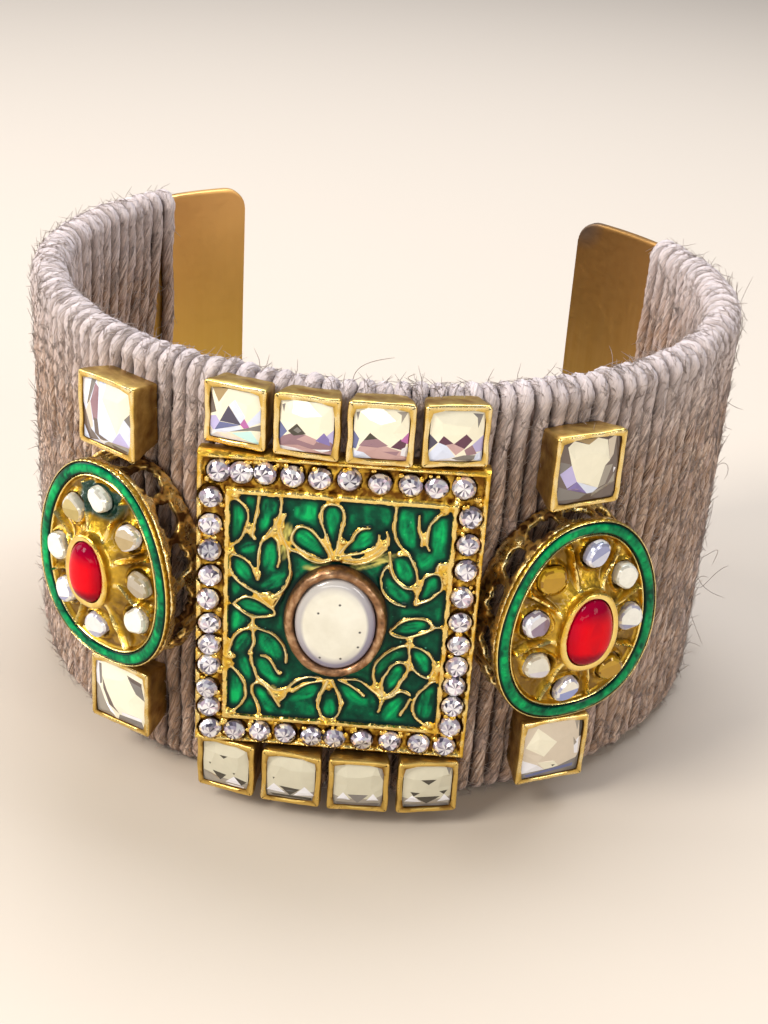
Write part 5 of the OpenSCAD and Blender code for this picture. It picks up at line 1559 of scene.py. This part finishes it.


# What each small stone shows, its own tone with painted reflections: the tint above and below a line, that
# line's height, and the crown's tints of painted light and shade
polkiKinds = {
    "clear": ((0.35, 0.38, 0.62), (0.72, 0.74, 0.86), 0.0,
              [(0.9, 0.9, 0.95), (0.3, 0.3, 0.4), (0.6, 0.62, 0.78)]),
    "cream": ((0.97, 0.96, 0.86), (0.93, 0.91, 0.80), -0.5, [(0.9, 0.88, 0.78), (0.62, 0.6, 0.5)]),
    "creamLow": ((0.97, 0.96, 0.88), (0.34, 0.34, 0.50), -0.5, [(0.9, 0.88, 0.8), (0.5, 0.48, 0.6)]),
    "halved": ((0.94, 0.90, 0.78), (0.32, 0.37, 0.68), 0.05, [(0.84, 0.82, 0.8), (0.46, 0.46, 0.6)]),
    "cloudy": ((0.76, 0.73, 0.62), (0.66, 0.62, 0.66), -0.3, [(0.7, 0.66, 0.52), (0.5, 0.42, 0.3)]),
    "silver": ((0.84, 0.82, 0.84), (0.32, 0.24, 0.34), 0.25,
               [(0.82, 0.8, 0.86), (0.3, 0.26, 0.34), (0.9, 0.9, 0.94)]),
    "amber": ((0.56, 0.32, 0.01), (0.48, 0.26, 0.008), 0.3, [(0.6, 0.36, 0.02), (0.28, 0.14, 0.006)]),
    "amberRim": ((0.62, 0.5, 0.2), (0.5, 0.38, 0.12), 0.1, [(0.8, 0.74, 0.6), (0.7, 0.64, 0.5)]),
    "clearAmber": ((0.56, 0.46, 0.3), (0.46, 0.34, 0.16), 0.1,
                   [(0.86, 0.84, 0.84), (0.6, 0.5, 0.36), (0.9, 0.88, 0.9)]),
    "grey": ((0.5, 0.44, 0.34), (0.44, 0.36, 0.24), -0.1, [(0.56, 0.5, 0.38), (0.42, 0.34, 0.2)]),
    "leaf": ((0.86, 0.85, 0.82), (0.46, 0.46, 0.58), -0.4, [(0.84, 0.84, 0.86), (0.5, 0.48, 0.6)]),
}


def makePolkis(side, glass, place):
    facts = medallion["sides"][side]
    for k, ((x, y), kind) in enumerate(zip(facts["stones"], facts["kinds"])):
        seed = random.Random(200 + k + (50 if side == "left" else 0))
        above, below, line, crown = polkiKinds[kind]
        mesh = bmesh.new()
        radius = medallion["polki"]
        steps = ((0.8, 0.0), (0.99, 0.3), (1.0, 0.72), (0.93, 0.98), (0.78, 1.14))
        bridgeRings(mesh, [addRing(mesh, 22, radius * share, Matrix.Translation((0, 0, z)))[1]
                           for share, z in steps])
        for vertex in mesh.verts:  # cut by hand, so no outline is quite round
            t = atan2(vertex.co.y, vertex.co.x)
            uneven = noise.noise((cos(t) * 0.95 + k * 3.1, sin(t) * 0.95, 7.0 if side == "left" else 19.0))
            vertex.co.xy *= 0.98 + 0.26 * uneven
        tilt = seed.uniform(-0.4, 0.4)
        table = max(mesh.faces, key=lambda f: f.calc_center_median().z)
        bmesh.ops.bisect_plane(mesh, geom=[table, *table.edges, *table.verts], dist=0.0001,
                               plane_co=(0, line * radius, 0), plane_no=(sin(tilt), cos(tilt), 0))
        bmesh.ops.recalc_face_normals(mesh, faces=mesh.faces)
        shades = {}
        for face in mesh.faces:
            c = face.calc_center_median()
            if c.z > 1.13:
                over = c.x * sin(tilt) + (c.y - line * radius) * cos(tilt) > 0
                shades[face] = above if over else below
            else:
                # crown facets take painted light and shade in broad sectors
                sector = (atan2(c.y, c.x) / tau + 0.5) * 7 + 2.5 * c.z + k
                shades[face] = crown[int(sector) % len(crown)]
        paintCorners(mesh, "tint", lambda f: shades[f])
        finishPiece(f"polki_cut_{side}_{k + 1}", mesh, [glass], [f"polki_{side}_{k + 1}"],
                    place @ Matrix.Translation((x, y, medallion["seat"])) @ handTilt(seed, 0.1), 25)


def makeMedallions(faceGilt, wallGilt, enamel, red, glass):
    for side, facts in medallion["sides"].items():
        place = onCuff(facts["angle"], facts["z"], facts["turn"])
        makeMedallionFace(side, faceGilt, place)
        makeMedallionWall(side, wallGilt, place)
        makeMedallionEnamel(side, enamel, place)
        makeRedStone(side, red, place)
        makePolkis(side, glass, place)
    print("medallions ready")


# Brass of the strip: satin, tarnished in clouds, with fine scratches along it; a painted highlight on the
# left tab and painted shade on the right
def brassMaterial(name):
    material, tree, shader = startMaterial(name, {"Metallic": 1.0})
    cloud = objectNoise(tree, 90, 2, 0.5)
    fine = objectNoise(tree, 1500, 1, 0.5)
    lines = objectNoise(tree, 260, 3, 0.6, stretch=(5.0, 5.0, 0.25))
    here = objectPlace(tree)
    place = addNode(tree, "ShaderNodeSeparateXYZ", {0: here})
    upper = spread(tree, place.outputs[2], 0.022, 0.040)
    dark = maths(tree, "MULTIPLY", upper, spread(tree, place.outputs[0], 0.0, 0.001))
    corner = addNode(tree, "ShaderNodeVectorMath", {0: here, 1: (0.0205, 0.0245, 0.0410)},
                     operation="DISTANCE")
    tint = blend(tree, spread(tree, cloud, 0.32, 0.68), (0.60, 0.34, 0.07), (0.84, 0.54, 0.13))
    tint = blend(tree, spread(tree, lines, 0.35, 0.7, 0.0, 0.35), tint, (0.88, 0.62, 0.22))
    tint = blend(tree, maths(tree, "MULTIPLY", upper, 0.65), tint, (0.66, 0.33, 0.11))
    # painted shade: the upper part of the right tab darker
    tint = blend(tree, maths(tree, "MULTIPLY", dark, 0.7), tint, (0.26, 0.13, 0.04))
    # painted highlight: the left tab brighter and more golden
    paintedLeftHighlight = blend(tree, spread(tree, place.outputs[2], 0.020, 0.040), (1.0, 0.68, 0.13),
                   (0.96, 0.57, 0.20))
    tint = blend(tree, spread(tree, place.outputs[0], -0.012, -0.011, 0.7, 0.0), tint, paintedLeftHighlight)
    # painted shade: the whole right tab darker
    tint = blend(tree, spread(tree, place.outputs[0], 0.0, 0.001, 0.0, 0.34), tint, (0.24, 0.12, 0.03))
    tint = blend(tree, spread(tree, corner.outputs["Value"], 0.001, 0.0032, 0.8, 0.0), tint,
                 (0.15, 0.13, 0.12))
    tree.links.new(tint, shader.inputs["Base Color"])
    rough = maths(tree, "ADD", spread(tree, cloud, 0.3, 0.7, 0.5, 0.4),
                  spread(tree, fine, 0.3, 0.7, -0.03, 0.03))
    tree.links.new(rough, shader.inputs["Roughness"])
    return material


def medallionGilt(name):  # gilding with a poured green patch where the mesh says so
    material = giltMaterial(name, (0.98, 0.78, 0.28), (0.72, 0.44, 0.035), (0.22, 0.12, 0.008),
                            0.5, 0.22, 0.8)
    tree = material.node_tree
    shader = tree.nodes["Principled BSDF"]
    green = attribute(tree, "green")
    gilt = shader.inputs["Base Color"].links[0].from_socket
    tree.links.new(blend(tree, green, gilt, (0.004, 0.05, 0.03)), shader.inputs["Base Color"])
    tree.links.new(maths(tree, "SUBTRACT", 1.0, green), shader.inputs["Metallic"])
    shader.inputs["Coat Weight"].default_value = 0.5
    shader.inputs["Coat Roughness"].default_value = 0.05
    return material


def makeStage():
    mesh = bmesh.new()
    bmesh.ops.create_grid(mesh, x_segments=1, y_segments=1, size=3.0)
    data = bpy.data.meshes.new("floor")
    mesh.to_mesh(data)
    mesh.free()
    data.materials.append(startMaterial("pale floor", {
        "Base Color": (0.60, 0.52, 0.42, 1), "Roughness": 0.85})[0])
    floor = bpy.data.objects.new("floor", data)
    scene.collection.objects.link(floor)


def addSoftbox(name, place, size, power, tint):
    aim = Vector((0, -0.01, 0.022))
    data = bpy.data.lights.new(name, "AREA")
    data.shape = "RECTANGLE"
    data.size, data.size_y = size
    data.energy = power
    data.color = tint
    lamp = bpy.data.objects.new(name, data)
    lamp.location = place
    lamp.rotation_euler = (aim - Vector(place)).to_track_quat("-Z", "Y").to_euler()
    scene.collection.objects.link(lamp)


def makeLight():
    world = bpy.data.worlds.new("studio")
    world.use_nodes = True
    tree = world.node_tree
    tree.nodes["Background"].inputs["Color"].default_value = (0.82, 0.86, 1.0, 1)
    tree.nodes["Background"].inputs["Strength"].default_value = 0.25
    scene.world = world
    addSoftbox("window", (-0.32, -0.28, 0.40), (0.22, 0.22), 2.6, (1.0, 0.96, 0.92))
    addSoftbox("side", (-0.50, 0.02, 0.24), (0.25, 0.35), 1.3, (0.95, 0.96, 1.0))
    addSoftbox("sky", (0.05, 0.22, 0.52), (0.50, 0.30), 3.7, (0.86, 0.90, 1.0))
    addSoftbox("fill", (0.42, -0.34, 0.22), (0.16, 0.30), 0.9, (1.0, 0.96, 0.9))
    addSoftbox("front", (0.0, -0.55, 0.10), (0.40, 0.08), 0.4, (1.0, 0.98, 0.95))
    scene.view_settings.view_transform = "Standard"
    scene.view_settings.look = "None"
    scene.view_settings.exposure = 0.0


makeStage()
makeLight()
print("stage ready")

strandJute = juteMaterial("jute yarn", (0.17, 0.085, 0.04), (0.58, 0.37, 0.245), (0.98, 0.78, 0.63), True)
looseJute = juteMaterial("loose jute", (0.52, 0.36, 0.26), (0.78, 0.61, 0.50), (0.97, 0.85, 0.76))
# very dark jute for the sleeve under the turns: painted shade for the gaps
gapShadeJute = juteMaterial("jute gap shade", (0.05, 0.025, 0.015), (0.14, 0.08, 0.05), (0.2, 0.13, 0.09))
castGilt = giltMaterial("cast gilding", (0.90, 0.68, 0.24), (0.78, 0.48, 0.06), (0.19, 0.08, 0.012),
                        0.9, 0.26, 1.0)
wallGilt = giltMaterial("red gilding", (1.0, 0.88, 0.47), (0.96, 0.66, 0.20), (0.13, 0.06, 0.02),
                        1.0, 0.3, 1.1)
sheetGilt = giltMaterial("sheet gilding", (0.98, 0.86, 0.52), (0.78, 0.54, 0.15), (0.25, 0.125, 0.025),
                         0.4, 0.25, 0.5)
copper = giltMaterial("copper", (0.64, 0.42, 0.25), (0.34, 0.18, 0.09), (0.11, 0.06, 0.035),
                      1.1, 0.34, 1.0)
wireGilt = giltMaterial("wire gilding", (0.94, 0.84, 0.52), (0.80, 0.62, 0.26), (0.36, 0.22, 0.05),
                        0.6, 0.28, 0.5)
greenEnamel = enamelMaterial("green enamel")
cutGlass = foiledGlass("cut glass", 0.55, 1.0, 0.1)
mirrorGlass = foiledGlass("mirror glass", 0.15, 0.6, 0.04, 0.2)
polkiGlass = foiledGlass("polki glass", 0.2, 0.7, 0.12, 0.2)
redGlass = foiledGlass("red glass", 0.0, 0.14, 0.02, 0.04)

makeStrip(brassMaterial("strip brass"))
yarnRun = makeYarn(strandJute, gapShadeJute)
makeFibres(looseJute, yarnRun)
makePlaqueCast(castGilt)
makePlaqueWires(wireGilt)
makePlaqueEnamel(greenEnamel)
print("plaque ready")
makeCentre(copper, milkyMaterial("milky glass"))
makeRhinestones(cutGlass)
makeSquares(sheetGilt, mirrorGlass)
makeMedallions(medallionGilt("medallion gilding"), wallGilt, greenEnamel, redGlass, polkiGlass)
